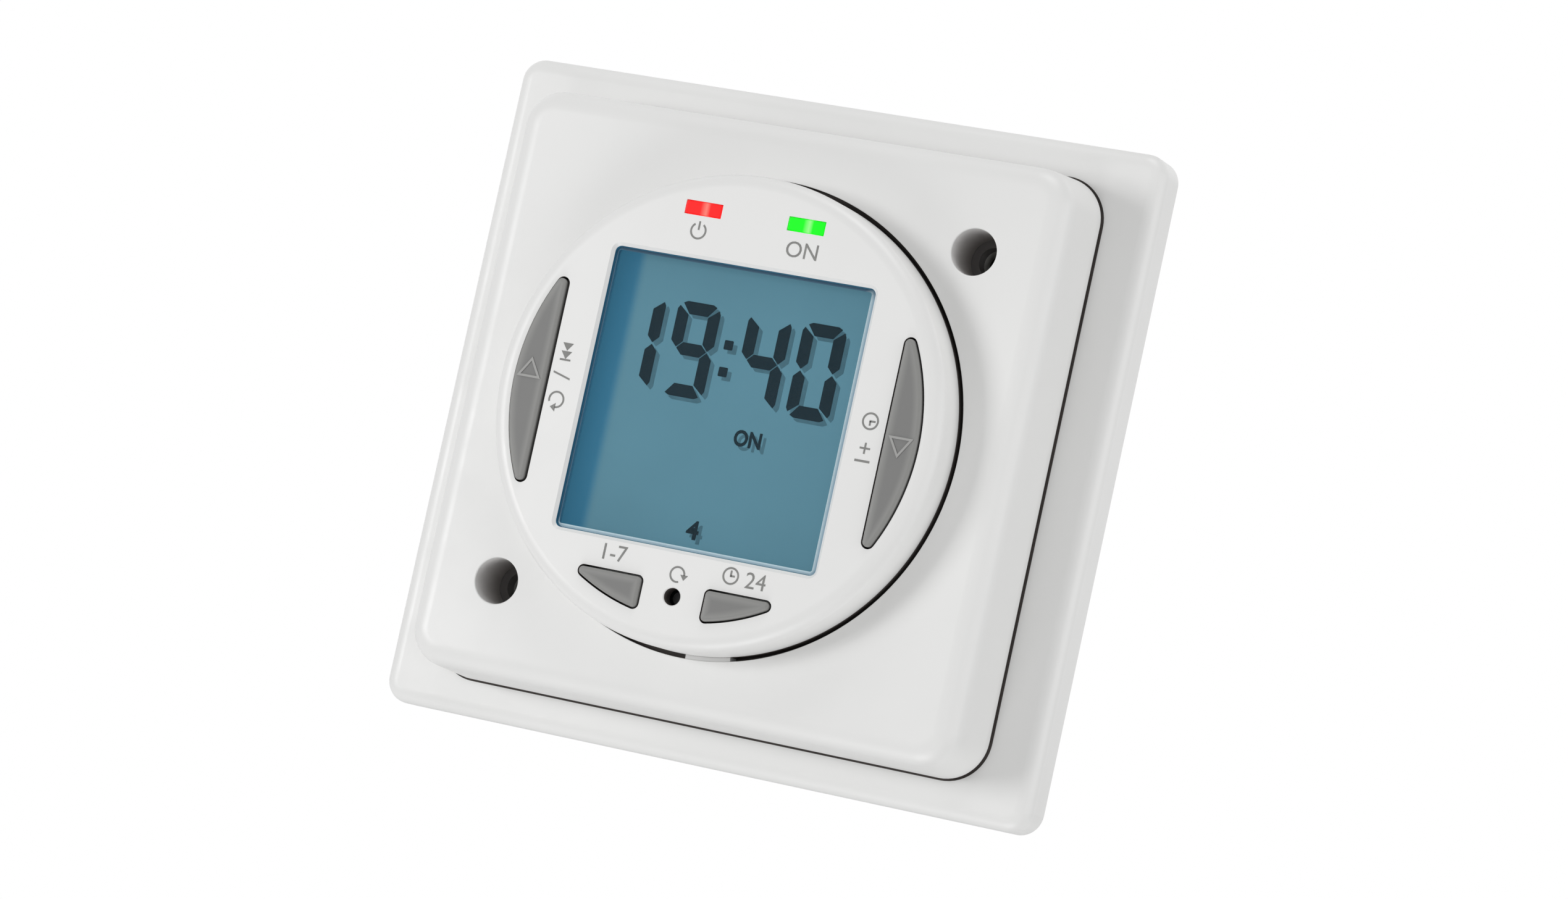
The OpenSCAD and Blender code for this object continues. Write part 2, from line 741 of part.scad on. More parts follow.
module rear_case() color(pale_shell) upright() difference() {
    union() {
        slab(plate_t, z_flange) rounded(flange_s, flange_s, housing_corner_r - housing_draft);
        difference() {
            case_box(0, 0);
            case_box(case_wall, case_wall);
        }
        for (at = pillars) translate(at) rod(pillar_r, case_wall / 2 - case_depth, z_power);
        for (x = [-1, 1]) box_at([x * power_w / 4, (shelf_y - power_h / 2) / 2, z_shelf + eps],
            [shelf_rib_w, power_h / 2 + shelf_y - shelf_rib_w / 2, z_power - z_shelf - eps]);
    }
    slab(plate_t - 1, z_flange + 1) rounded(case_in_w, case_in_h, case_r - case_wall / 2);
    for (at = wells) translate(at) rod(well_screw_d / 2, plate_t - 1, z_flange + 1);
    for (at = posts) translate([at[0], at[1], plate_t]) {
        rod(post_r / 2 + fit, -1, flange_t + 1);
        translate([0, 0, -eps]) cylinder(r1 = post_r + eps, r2 = post_r / 2, h = post_r / 2 + eps);
    }
    for (at = pillars) translate(at) rod(small_screw_r - fit, z_power - small_screw_l - 1, z_power + 1);
    for (x = terminal_xs) box_at([x, cage_at[0], z_shelf - 1],
        [tail_w + 2 * tail_play, tail_t + 2 * tail_play, case_wall + 2]);
}

module case_screws() color(steel) upright() for (at = posts) translate([at[0], at[1], plate_t]) {
    cylinder(r1 = post_r - fit, r2 = pilot_r, h = post_r / 2);
    rod(pilot_r - fit, post_r / 4, case_screw_l);
}

module power_board() color(board_green) upright() difference() {
    slab(z_power, z_power_top) rounded(power_w, power_h, power_r);
    for (at = pillars) translate(at) rod(small_screw_r + fit, z_power - 1, z_power_top + 1);
    for (x = terminal_xs)
        box_at([x, cage_at[0], z_power - 1], [tail_w + tail_play, tail_t + tail_play, board_t + 2]);
}

module board_screws() color(steel) upright() for (at = pillars) translate(at) {
    rod(pillar_r - board_edge, z_power_top, z_power_top + small_head_t);
    rod(small_screw_r - 2 * fit, z_power - small_screw_l, z_power_top + eps);
}

module on_relay() upright() translate(relay_at) children();

module relay_base() color(chip_black) on_relay()
    slab(z_power_top, z_relay) square([relay_l, relay_w], center = true);

module relay_coil() color(copper) on_relay() translate([coil_x, 0]) difference() {
    union() {
        rod(coil_r - coil_wind, z_relay + yoke_t + fit, z_pole - pole_t - 2 * fit);
        rod(coil_r, z_relay + yoke_t + fit, z_relay + yoke_t + fit + bobbin_t);
        rod(coil_r, z_pole - pole_t - fit - bobbin_t, z_pole - pole_t - fit);
    }
    rod(core_r + fit, z_relay, z_pole);
}

module relay_yoke() color(steel) on_relay() {
    box_at([(yoke_x + coil_x) / 2, 0, z_relay], [coil_x - yoke_x + yoke_t, yoke_w, yoke_t]);
    box_at([yoke_x, 0, z_relay], [yoke_t, yoke_w, z_armature - hinge_gap - z_relay]);
    translate([coil_x, 0]) {
        rod(core_r, z_relay, z_pole);
        rod(core_r + pole_rim, z_pole - pole_t, z_pole);
    }
}

module relay_armature() color(steel) on_relay() {
    tip = coil_x + armature_over;
    box_at([(yoke_x + tip) / 2, 0, z_armature],
        [tip - yoke_x + yoke_t, yoke_w - 2 * armature_side, armature_t]);
}

module relay_blade() color(copper) on_relay() {
    box_at([(coil_x + contact_x + blade_over) / 2, 0, z_armature + armature_t],
        [contact_x - coil_x + blade_over, blade_w, blade_t]);
    translate([contact_x, 0]) rod(contact_r, z_armature - contact_dip, z_armature + armature_t + eps);
}

module relay_contacts() color(brass) on_relay() translate([contact_x, 0]) {
    rod(contact_r, z_contact - contact_t, z_contact);
    box_at([0, 0, z_relay], [contact_post, blade_w, z_contact - contact_t - z_relay + eps]);
}

module relay_cover() color([0.15, 0.25, 0.45]) on_relay() difference() {
    slab(z_relay, z_cover) square([relay_l, relay_w], center = true);
    slab(z_relay - 1, z_cover - cover_t)
        square([relay_l - 2 * cover_t, relay_w - 2 * cover_t], center = true);
}

module dropper_capacitor() color([0.80, 0.68, 0.20]) upright()
    box_at([dropper_at[0], dropper_at[1], z_power - dropper[2]], dropper);

module smoothing_capacitor() color([0.12, 0.16, 0.30]) upright() translate(smoothing_at) {
    rod(smoothing_r, z_power_top, z_power_top + smoothing_h - smoothing_top);
    rod(smoothing_r - smoothing_crimp, z_power_top, z_power_top + smoothing_h);
}

module varistor() color([0.15, 0.35, 0.65]) upright() {
    translate([varistor_at[0], varistor_at[1] + varistor_t / 2, z_power_top + varistor_r + varistor_lift])
        rotate([90, 0, 0]) cylinder(r = varistor_r, h = varistor_t);
    for (side = [-1, 1]) translate(varistor_at + [side * varistor_leads / 2, 0])
        rod(lead_r, z_power_top, z_power_top + varistor_r);
}

module fuse_resistor() color([0.75, 0.70, 0.60]) upright() {
    translate([fuse_at[0] - fuse_l / 2, fuse_at[1], z_power_top + fuse_r + fuse_lift]) rotate([0, 90, 0])
        cylinder(r = fuse_r, h = fuse_l);
    for (side = [-1, 1]) translate(fuse_at + [side * (fuse_l / 2 - fuse_lead_in), 0])
        rod(lead_r, z_power_top, z_power_top + fuse_r);
}

module terminal_block() color([0.85, 0.85, 0.83]) upright() difference() {
    translate([-block_w / 2, block_y0, block_z0]) cube([block_w, block_y1 - block_y0, z_shelf - block_z0]);
    for (x = terminal_xs) {
        box_at([x, cage_at[0], cage_at[1] - cage_h / 2 - fit],
            [cage_w + 2 * fit, cage_d + 2 * fit, z_shelf - cage_at[1] + cage_h / 2 + 1]);
        translate([x, block_y0 - 1, wire_z]) rotate([-90, 0, 0])
            cylinder(d = wire_d + wire_play, h = cage_at[0] - block_y0 + 1);
        translate([x, cage_at[0]]) rod(clamp_head_r + clamp_head_play, block_z0 - 1, cage_at[1]);
    }
}

module terminal_clamps() color(brass) upright() for (x = terminal_xs) difference() {
    union() {
        box_at([x, cage_at[0], cage_at[1] - cage_h / 2], [cage_w, cage_d, cage_h]);
        box_at([x, cage_at[0], cage_at[1]], [tail_w, tail_t, z_power_top - cage_at[1]]);
    }
    translate([x, cage_at[0] - cage_d / 2 - wire_stop, wire_z]) rotate([-90, 0, 0])
        cylinder(d = wire_d, h = cage_d - wire_stop);
    translate([x, cage_at[0]]) rod(clamp_screw_r + touch, cage_at[1] - cage_h, wire_z);
}

module terminal_screws() color(steel) upright() for (x = terminal_xs) translate([x, cage_at[0]])
    difference() {
        head_top = cage_at[1] - cage_h / 2 - clamp_head_gap;
        union() {
            rod(clamp_screw_r, head_top - eps, wire_z - wire_d / 2 + clamp_grip);
            rod(clamp_head_r, block_z0 + clamp_head_drop, head_top);
        }
        box_at([0, 0, block_z0], [2 * clamp_head_r + 1, slot_w, clamp_head_drop + slot_depth]);
    }

wall_plate();
plate_inserts();
front_housing();
timer_fascia();
display_lens();
lcd_glass();
lcd_holder();
backlight_guide();
zebra_strips();
display_board();
key_mats();
advance_key();
boost_key();
program_key();
time_key();
advance_dome();
boost_dome();
program_dome();
time_dome();
advance_pill();
boost_pill();
program_pill();
time_pill();
reset_switch();
reset_plunger();
power_light_pipe();
on_light_pipe();
status_leds();
microcontroller();
clock_crystal();
backup_battery();
board_socket();
board_header();
rear_case();
case_screws();
power_board();
board_screws();
relay_base();
relay_coil();
relay_yoke();
relay_armature();
relay_blade();
relay_contacts();
relay_cover();
dropper_capacitor();
smoothing_capacitor();
varistor();
fuse_resistor();
terminal_block();
terminal_clamps();
terminal_screws();
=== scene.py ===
import json
import math

import bmesh
import bpy
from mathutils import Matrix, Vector


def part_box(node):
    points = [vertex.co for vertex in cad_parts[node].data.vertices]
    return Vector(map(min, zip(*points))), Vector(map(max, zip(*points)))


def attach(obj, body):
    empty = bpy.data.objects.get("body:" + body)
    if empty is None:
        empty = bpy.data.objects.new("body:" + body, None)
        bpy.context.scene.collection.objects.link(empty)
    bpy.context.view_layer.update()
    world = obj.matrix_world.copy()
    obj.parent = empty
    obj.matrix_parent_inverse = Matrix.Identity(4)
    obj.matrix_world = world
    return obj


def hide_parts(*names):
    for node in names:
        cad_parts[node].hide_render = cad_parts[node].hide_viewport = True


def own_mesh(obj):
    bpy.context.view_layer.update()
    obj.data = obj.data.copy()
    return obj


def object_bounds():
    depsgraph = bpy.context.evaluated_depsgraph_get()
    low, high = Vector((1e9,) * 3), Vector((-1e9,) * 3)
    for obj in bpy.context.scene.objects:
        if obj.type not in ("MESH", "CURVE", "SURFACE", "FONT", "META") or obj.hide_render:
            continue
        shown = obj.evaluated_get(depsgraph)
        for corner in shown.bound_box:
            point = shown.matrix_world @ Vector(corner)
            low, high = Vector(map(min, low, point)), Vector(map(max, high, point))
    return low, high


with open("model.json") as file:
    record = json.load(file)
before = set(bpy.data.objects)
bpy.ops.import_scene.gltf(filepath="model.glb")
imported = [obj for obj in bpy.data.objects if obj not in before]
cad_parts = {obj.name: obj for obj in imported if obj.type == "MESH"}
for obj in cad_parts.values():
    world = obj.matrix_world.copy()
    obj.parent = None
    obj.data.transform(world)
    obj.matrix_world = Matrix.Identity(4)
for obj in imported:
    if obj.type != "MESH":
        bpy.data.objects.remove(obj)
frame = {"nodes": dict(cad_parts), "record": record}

bl_info = {
    "name": "Wall Timer Looks",
    "version": (1, 0, 0),
    "blender": (4, 5, 0),
    "location": "3D View > Sidebar > Wall Timer",
    "description": "Makes the finished shapes and surfaces of a wall timer around its packed solids",
    "category": "Object",
}

CAD_BOX = [list(corner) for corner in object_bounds()]
MM = 0.001
# Meshes are made in millimetres, because the filling of flats has a fixed tolerance
FINE = 1000.0
ROUND_STEPS = 192
SHARP_ANGLE = math.radians(32)
# How deep a solid bites into the one that it is joined to
BITE = 0.1 * MM
# Steps in a quarter turn of an outer edge and of the mouth of a hole
EDGE_STEPS = 6
MOUTH_STEPS = 4
# Core of a thread as a share of its shank's radius, and length of a cross slot as a share of its head's
THREAD_CORE = 0.86
CROSS_SLOT = 1.2


def front_of(node):
    """Level of a node's front, out of the wall."""
    return -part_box(node)[0].y


def back_of(node):
    """Level of a node's back, out of the wall."""
    return -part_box(node)[1].y


def size_of(node):
    """Width and height of a node in millimetres."""
    low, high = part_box(node)
    return [(high[i] - low[i]) / MM for i in (0, 2)]


def length(name, description, millimetres):
    return bpy.props.FloatProperty(name=name, description=description, default=millimetres * MM,
                                   unit="LENGTH", precision=5)


def angle(name, description, degrees):
    return bpy.props.FloatProperty(name=name, description=description, default=math.radians(degrees),
                                   subtype="ANGLE", unit="ROTATION")


def amount(name, description, value):
    return bpy.props.FloatProperty(name=name, description=description, default=value, min=0.0)


def linear(value):
    """A display value from 0 to 255 as scene linear light."""
    part = value / 255
    return part / 12.92 if part <= 0.04045 else ((part + 0.055) / 1.055) ** 2.4


def colour(name, description, red, green, blue):
    return bpy.props.FloatVectorProperty(name=name, description=description, size=3, min=0.0, max=1.0,
                                         default=(linear(red), linear(green), linear(blue)),
                                         subtype="COLOR")


def place_of(name, x, y, z):
    return bpy.props.FloatVectorProperty(name=name + " place", description="Where it stands", size=3,
                                         default=(x, y, z), unit="LENGTH", subtype="TRANSLATION")


class ShellSizes(bpy.types.PropertyGroup):
    """Sizes of the wall plate and the stepped housing."""
    plate_w: length("Plate width", "Width of the wall plate", size_of("wall_plate")[0])
    plate_h: length("Plate height", "Height of the wall plate", size_of("wall_plate")[1])
    plate_corner: length("Plate corner", "Rounding of the plate's corners, seen from the front", 3)
    plate_edge: length("Plate edge", "Rounding of the plate's front edge", 1.8)
    plate_wall: length("Plate wall", "Thickness of the plate's walls", 2.2)
    open_w: length("Plate opening width", "Width of the plate's opening for the case", 51)
    open_h: length("Plate opening height", "Height of the plate's opening for the case", 42)
    open_corner: length("Plate opening corner", "Rounding of the plate opening's corners", 2)
    boss_wall: length("Boss wall", "Wall of the bosses round holes", 1.6)
    boss_back: length("Boss back", "Level of the backs of the plate's bosses", 0.6)
    box_pitch: length("Box screw spacing", "Distance between the wall box's screws", 60.3)
    box_hole: length("Box screw hole", "Radius of the holes for the wall box's screws", 2.1)
    housing_side: length("Housing side", "Width and height of the housing", size_of("front_housing")[0])
    housing_corner: length("Housing corner", "Rounding of the housing's corners, seen from the front", 5.5)
    housing_edge: length("Housing edge", "Rounding of the housing's front edge", 2.6)
    housing_draft: length("Housing draft", "How far the housing's sides lean in", 0.6)
    housing_wall: length("Housing wall", "Thickness of the housing's walls", 2.2)
    inner_edge: length("Inner edge", "Rounding inside the housing's front edge", 0.6)
    foot: length("Housing foot", "Bevel at the foot of the housing, in the shadow line", 0.2)
    seam: length("Seam", "Width and depth of the groove round the foot of the housing", 0.25)
    well_x: length("Well across", "Sideways distance of the screw wells from the middle", 26.8)
    well_y: length("Well up", "Distance of the screw wells above and below the middle", 25.6)
    well_r: length("Well radius", "Radius of the screw wells", 2.95)
    well_floor: length("Well floor", "Thickness of the screw wells' floor", 2)
    well_edge: length("Well edge", "Rounding of the screw wells' mouths", 0.154)
    screw_hole: length("Screw hole", "Radius of the hole in a well's floor", 1.95)
    post_r: length("Post radius", "Radius of the posts for the case screws", 2.2)
    post_edge: length("Post at the side", "Sideways distance of the two posts near the sides", 32.8)
    post_y: length("Post up", "Distance of the side posts above and below the middle", 14)
    post_corner: length("Post at the corner", "Distance of the two corner posts from the middle", 29.9)
    pilot_r: length("Pilot hole", "Radius of the posts' pilot holes", 0.95)
    pilot_cap: length("Pilot cap", "Plastic left in front of a pilot hole", 0.6)
    soft: length("Soft edge", "Rounding of the small moulded edges", 0.22)


class FasciaSizes(bpy.types.PropertyGroup):
    """Sizes of the round fascia and the opening that it stands in."""
    opening_r: length("Opening", "Radius of the housing's round opening", 30.45)
    opening_edge: length("Opening edge", "Rounding of the round opening's edge", 0.22 / 3)
    fascia_r: length("Fascia", "Radius of the fascia", 29.9)
    edge: length("Edge", "Rounding of the fascia's edge", 1.7)
    face_t: length("Face", "Thickness of the fascia's face", 2)
    skirt_r: length("Skirt", "Radius inside the fascia's skirt", 28.7)
    collar_r: length("Collar", "Radius of the collar under the housing", size_of("timer_fascia")[0] / 2)
    collar_t: length("Collar thickness", "Thickness of the collar", 1.6)
    lug_turn: angle("Lug angle", "Where the lug stands on the fascia's side", 277)
    lug_span: angle("Lug span", "Width of the notch for the lug", 13)
    lug_play: angle("Lug play", "Clear space at each end of the lug", 0.8)
    lug_t: length("Lug depth", "How deep the notch for the lug is", 0.7)
    lug_drop: length("Lug drop", "How far the lug lies below the housing's face", 0.2)
    hook_span: angle("Hook span", "Width of a hook that holds the collar", 16)
    hook_t: length("Hook thickness", "Thickness of a hook", 1.5)
    hook_lip: length("Hook lip", "How far a hook reaches under the collar", 1.1)
    seat_turn: angle("Seat angle", "Where the seats for the board stand, from the level", 53)
    seat_span: angle("Seat span", "Width of a seat", 4)
    seat_in: length("Seat depth", "How far a seat reaches in from the skirt", 1.6)
    clip_span: angle("Clip span", "Width of a clip for the board", 10)
    clip_lip: length("Clip lip", "How far a clip reaches under the board", 0.7)
    window_w: length("Window width", "Width of the display window", 35.5)
    window_h: length("Window height", "Height of the display window", 36)
    window_y: length("Window up", "Height of the window's centre over the fascia's", 0.3)
    window_corner: length("Window corner", "Rounding of the window's corners", 0.8)
    window_bevel: length("Window bevel", "Bevel of the window's front edge", 0.4)
    reset_r: length("Reset hole", "Radius of the reset hole", 1.1)
    reset_y: length("Reset down", "Distance of the reset hole below the middle", 23.5)
    reset_soft: length("Reset edge", "Rounding of the reset hole's edge", 0.12)
    fit: length("Fit", "Clear space between pieces that are pushed together", 0.1)


class KeySizes(bpy.types.PropertyGroup):
    """Sizes of the keys and the light pipes."""
    arc_x: length("Arc key across", "Distance of an arc key's straight edge from the middle", 23.1)
    arc_r: length("Arc key radius", "Radius of an arc key's outer edge", 27.4)
    arc_tip: length("Arc key tip", "Rounding of an arc key's tips", 0.65)
    wedge_y: length("Wedge key down", "Distance of a wedge key's top edge below the middle", 21.9)
    wedge_x: length("Wedge key across", "Distance of a wedge key's inner edge from the middle", 4.4)
    wedge_r: length("Wedge key radius", "Radius of a wedge key's outer edge", 26.2)
    wedge_corner: length("Wedge key corner", "Rounding of a wedge key's corners", 0.55)
    soft: length("Key edge", "Rounding of a key's front edge", 0.4)
    rim_highlight_w: length("Key shading", "Width of the painted highlight along a key's border", 1.3)
    clear: length("Key gap", "Clear space round a key", 0.25)
    arc_shift: length("Left key shift", "How far the left arc key's opening lies nearer to the middle", 0.12)
    flange: length("Key flange", "How far a key's flange stands out", 0.5)
    flange_t: length("Flange thickness", "Thickness of a key's flange", 0.8)
    flange_gap: length("Flange gap", "Space between a key's flange and the fascia", 0.15)
    arc_post: length("Arc key post", "Radius of an arc key's post", 1.7)
    wedge_post: length("Wedge key post", "Radius of a wedge key's post", 1.3)
    wedge_post_in: length("Post across", "Distance of a wedge key's post from its inner edge", 3.1)
    wedge_post_down: length("Post down", "Distance of a wedge key's post from its top edge", 1.7)
    arrow_x: length("Arrow across", "Distance of an arrow's middle from the fascia's", 25.3)
    arrow_y: length("Arrow up", "Height of the right arrow's base over the middle", 0.9)
    arrow_lift: length("Arrow lift", "How much higher the left arrow stands than a mirrored one", 0.8)
    arrow_w: length("Arrow width", "Width of a key's raised arrow", 3.3)
    arrow_h: length("Arrow height", "Height of a key's raised arrow", 2.6)
    arrow_line: length("Arrow line", "Width of the raised line of a key's arrow", 0.28)
    arrow_rise: length("Arrow rise", "Height of the raised line of a key's arrow", 0.09)
    pipe_x: length("Light across", "Sideways distance of a light from the middle", 7)
    pipe_y: length("Light up", "Height of the lights over the middle", 24.5)
    pipe_w: length("Light width", "Width of a light's opening", 5)
    pipe_h: length("Light height", "Height of a light's opening", 1.8)
    pipe_hole_corner: length("Light opening corner", "Rounding of a light opening's corners", 0.05)
    pipe_corner: length("Light corner", "Rounding of a light pipe's corners", 0.2)
    pipe_flange_corner: length("Light flange corner", "Rounding of a light flange's corners", 0.3)
    pipe_flange: length("Light flange", "How far a light pipe's flange stands out", 0.5)
    pipe_flange_t: length("Light flange thickness", "Thickness of a light pipe's flange", 1.1)
    pipe_dome: length("Light dome", "Rounding of a light pipe's front edge", 0.12)


class DisplaySizes(bpy.types.PropertyGroup):
    """Sizes of what the display shows and of the marks on the fascia."""
    lens_flange: length("Lens flange", "How far the lens's flange stands out", 1)
    lens_flange_t: length("Lens flange thickness", "Thickness of the lens's flange", 1)
    lens_bevel: length("Lens bevel", "Bevel of the lens's front edge", 0.4)
    lens_rise: length("Lens rise", "How far the lens's front is raised towards the fascia's face", 0.5)
    panel_corner: length("Panel corner", "Rounding of the display panel's corners", 0.4)
    panel_bevel: length("Panel bevel", "Bevel of the display panel's edges", 0.15)
    digit_w: length("Digit width", "Width of a digit", 5.9)
    digit_h: length("Digit height", "Height of a digit", 12)
    digit_y: length("Digit up", "Height of the digits' middle", 7.2)
    digit_round: length("Digit corner", "Rounding of a digit's corners", 1.1)
    bar: length("Bar", "Width of a digit's bars", 1.6)
    bar_gap: length("Bar gap", "Gap between a digit's bars", 0.2)
    dot: length("Dot", "Side of a dot of the colon", 1.2)
    shadow_x: length("Shadow across", "How far the digits' shadow lies to the right", 0.6)
    shadow_y: length("Shadow down", "How far the digits' shadow lies below", 0.45)
    film: length("Film", "Thickness of one film of ink", 0.02)
    shadow_band: length("Dark band", "Width of the painted shadow band at the panel's left", 2.9)
    mark_line: length("Mark line", "Width of the lines of the printed marks", 0.24)
    text_bold: amount("Text weight", "How much bolder the display's texts are than the plain font", 0.03)


class CaseSizes(bpy.types.PropertyGroup):
    """Sizes of the rear case, the terminal block and the screws."""
    case_w: length("Case width", "Width of the case behind the plate", 50)
    case_h: length("Case height", "Height of the case behind the plate", 41)
    case_wall: length("Case wall", "Thickness of the case's walls", 1.8)
    case_corner: length("Case corner", "Rounding of the case's corners", 2)
    case_edge: length("Case edge", "Rounding of the case's back edges", 0.7)
    flange_t: length("Flange thickness", "Thickness of the case's front flange", 2)
    shelf_y: length("Shelf", "Distance of the step over the terminals below the middle", 7)
    pillar_x: length("Pillar across", "Sideways distance of the board's pillars", 20.4)
    pillar_y: length("Pillar up", "Height of the board's pillars over the middle", 15.9)
    pillar_r: length("Pillar radius", "Radius of the board's pillars", 2.4)
    rib_w: length("Rib", "Width of the ribs under the power board", 2)
    tail_w: length("Tail slot width", "Width of the slots in the shelf for the clamps' tails", 3.2)
    tail_h: length("Tail slot height", "Height of the slots in the shelf for the clamps' tails", 1.4)
    pitch: length("Terminal spacing", "Distance from one terminal to the next", 9.5)
    cage_w: length("Clamp pocket width", "Width of the pocket for a terminal clamp", 6.8)
    cage_d: length("Clamp pocket depth", "Depth of the pocket for a terminal clamp", 9.6)
    wire_r: length("Wire hole", "Radius of the hole for a wire", 2.1)
    wire_back: length("Wire depth", "How far behind the wall's plane the wires enter", 12)
    funnel: length("Wire funnel", "Bevel of the mouth of a wire hole", 0.5)
    head_hole: length("Screw hole", "Radius of the hole over a terminal screw", 2.2)
    groove: length("Groove", "Depth of the grooves between the terminals", 0.5)
    block_edge: length("Block edge", "Rounding of the terminal block's edges", 0.4)
    clamp_head: length("Terminal screw head", "Height of a terminal screw's head", 2.1)
    clamp_shank: length("Terminal screw shank", "Radius of a terminal screw's shank", 1.45)
    slot: length("Slot width", "Width of a screw's slot", 0.7)
    slot_depth: length("Slot depth", "Depth of a screw's slot", 0.8)
    thread: length("Thread pitch", "Pitch of the screws' threads", 0.7)
    insert_r: length("Insert radius", "Radius of a threaded insert", 2.4)
    insert_bore: length("Insert bore", "Radius of a threaded insert's bore", 1.5)
    knurl: amount("Knurl", "Depth of an insert's knurl as a share of its radius", 0.06)


class Finishes(bpy.types.PropertyGroup):
    """Colours of the visible pieces."""
    shell: colour("Shell", "White moulded plastic", 226, 226, 225)
    # Painted shade: the insides of narrow gaps, seams and hole walls are coloured dark grey for the shade
    # that falls in them.
    gap: colour("Gap", "Painted shade inside a narrow gap", 84, 78, 75)
    # The wells' tones are painted shade, darker with depth as the light falls off in a deep hole.
    well: colour("Well", "Inside of a screw well near its mouth", 222, 221, 220)
    well_deep_shade: colour("Deep well", "Painted shade inside a screw well near its floor", 166, 162, 160)
    key: colour("Key", "Soft grey of the keys", 116, 116, 115)
    # Painted highlight: the keys' edges are lighter where light catches them.
    key_rim_highlight: colour("Key rim", "Painted highlight on the edges of the keys", 134, 134, 132)
    # The raised arrows are a lighter grey than the key: a painted highlight.
    key_mark: colour("Key mark", "Raised arrows of the keys", 150, 150, 148)
    panel: colour("Panel", "Display panel", 87, 131, 147)
    panel_dark: colour("Panel shade", "Shaded left of the display panel", 58, 118, 148)
    digit: colour("Digit", "Dark digits", 22, 32, 37)
    shadow: colour("Digit shadow", "Shadow of the digits", 78, 116, 130)
    lens: colour("Lens", "Clear window", 70, 110, 128)
    # Painted light on the window's edge: a bright highlight tone and a dark shade tone, set by side.
    lens_rim_painted_light: colour("Lens edge", "Painted highlight on the edge of the clear window", 214, 236, 244)
    lens_shade: colour("Lens shade", "Dark edge of the clear window", 84, 112, 132)
    red: colour("Red light", "Lit red light pipe", 250, 30, 30)
    red_highlight: colour("Red highlight", "Painted highlight band of the red light pipe", 255, 110, 100)
    green: colour("Green light", "Lit green light pipe", 20, 235, 30)
    green_highlight: colour("Green highlight", "Painted highlight band of the green light pipe", 130, 255, 120)
    print_grey: colour("Print", "Grey print on the fascia", 138, 138, 136)
    case: colour("Case", "Rear case and terminal block", 208, 208, 203)
    floor: colour("Floor", "Pale studio floor", 246, 246, 246)


class StageSettings(bpy.types.PropertyGroup):
    """Camera, lights and floor."""
    lens: bpy.props.FloatProperty(name="Lens", description="Focal length of the camera in millimetres",
                                  default=112.094, min=1.0)
    camera_at: place_of("Camera", 0.23847, -0.57478, -0.04701)
    camera_turn: bpy.props.FloatVectorProperty(
        name="Camera turn", description="Turn of the camera", size=3, subtype="EULER",
        default=tuple(math.radians(turn) for turn in (94.3098, -12.2819, 21.5775)))
    left_light: amount("Left light", "Power of the soft light at the front left, in watts", 4.9)
    left_at: place_of("Left light", -0.74, -0.9, 0.0)
    right_light: amount("Right light", "Power of the soft light at the right, in watts", 5.2)
    right_at: place_of("Right light", 1.1, -0.12, 0.05)
    top_light: amount("Top light", "Power of the soft light above, in watts", 3.8)
    top_at: place_of("Top light", 0.1, -0.35, 1.1)
    low_light: amount("Low light", "Power of the soft light below, in watts", 4.3)
    low_at: place_of("Low light", 0.0, -0.4, -1.05)
    left_side: length("Left light side", "Width and height of the left light", 360)
    right_side: length("Right light side", "Width and height of the right light", 1000)
    top_side: length("Top light side", "Width and height of the top light", 600)
    low_side: length("Low light side", "Width and height of the low light", 600)
    ambient: amount("Ambient", "Strength of the even light from all round", 0.45)
    floor_glow: amount("Floor glow", "How much whiter the floor looks to the camera than it is lit", 0.1)
    floor_r: length("Floor", "Radius of the floor", 350)
    floor_gap: length("Floor gap", "Space between the floor and the plate's lower edge", 0.1)


GROUPS = {
    "timer_shell": ShellSizes,
    "timer_fascia": FasciaSizes,
    "timer_keys": KeySizes,
    "timer_display": DisplaySizes,
    "timer_case": CaseSizes,
    "timer_finishes": Finishes,
    "timer_stage": StageSettings,
}


def settings(name):
    return getattr(bpy.context.scene, "timer_" + name)


# Outlines: lists of points in the face frame, x to the right and y up, in metres


def arc(x, y, r, start, end, steps):
    turns = [start + (end - start) * i / steps for i in range(steps + 1)]
    return [(x + r * math.cos(turn), y + r * math.sin(turn)) for turn in turns]


def without_doubles(points):
    kept = []
    for point in points:
        if not kept or math.dist(point, kept[-1]) > 1e-7:
            kept.append(point)
    if math.dist(kept[0], kept[-1]) <= 1e-7:
        kept.pop()
    return kept


def rounded(w, h, r, x=0.0, y=0.0, steps=10):
    points = []
    for i, (side, up) in enumerate(((1, 1), (-1, 1), (-1, -1), (1, -1))):
        start = i * math.pi / 2
        points += arc(x + side * (w / 2 - r), y + up * (h / 2 - r), r, start, start + math.pi / 2, steps)
    return without_doubles(points)


def circle(x, y, r, steps=48):
    return arc(x, y, r, 0, 2 * math.pi * (steps - 1) / steps, steps - 1)


def mirrored(points):
    return [(-x, y) for x, y in reversed(points)]


def arc_key(grow):
    """Right-hand arc key: straight towards the window, round towards the fascia's edge."""
    keys = settings("keys")
    r = keys.arc_tip + grow
    big = keys.arc_r + grow
    x = keys.arc_x - grow + r
    y = math.sqrt((big - r) ** 2 - x * x)
    turn = math.atan2(y, x)
    low_tip = arc(x, -y, r, math.pi, 2 * math.pi - turn, 10)
    high_tip = arc(x, y, r, turn, math.pi, 10)
    return without_doubles(low_tip + arc(0, 0, big, -turn, turn, 48) + high_tip)


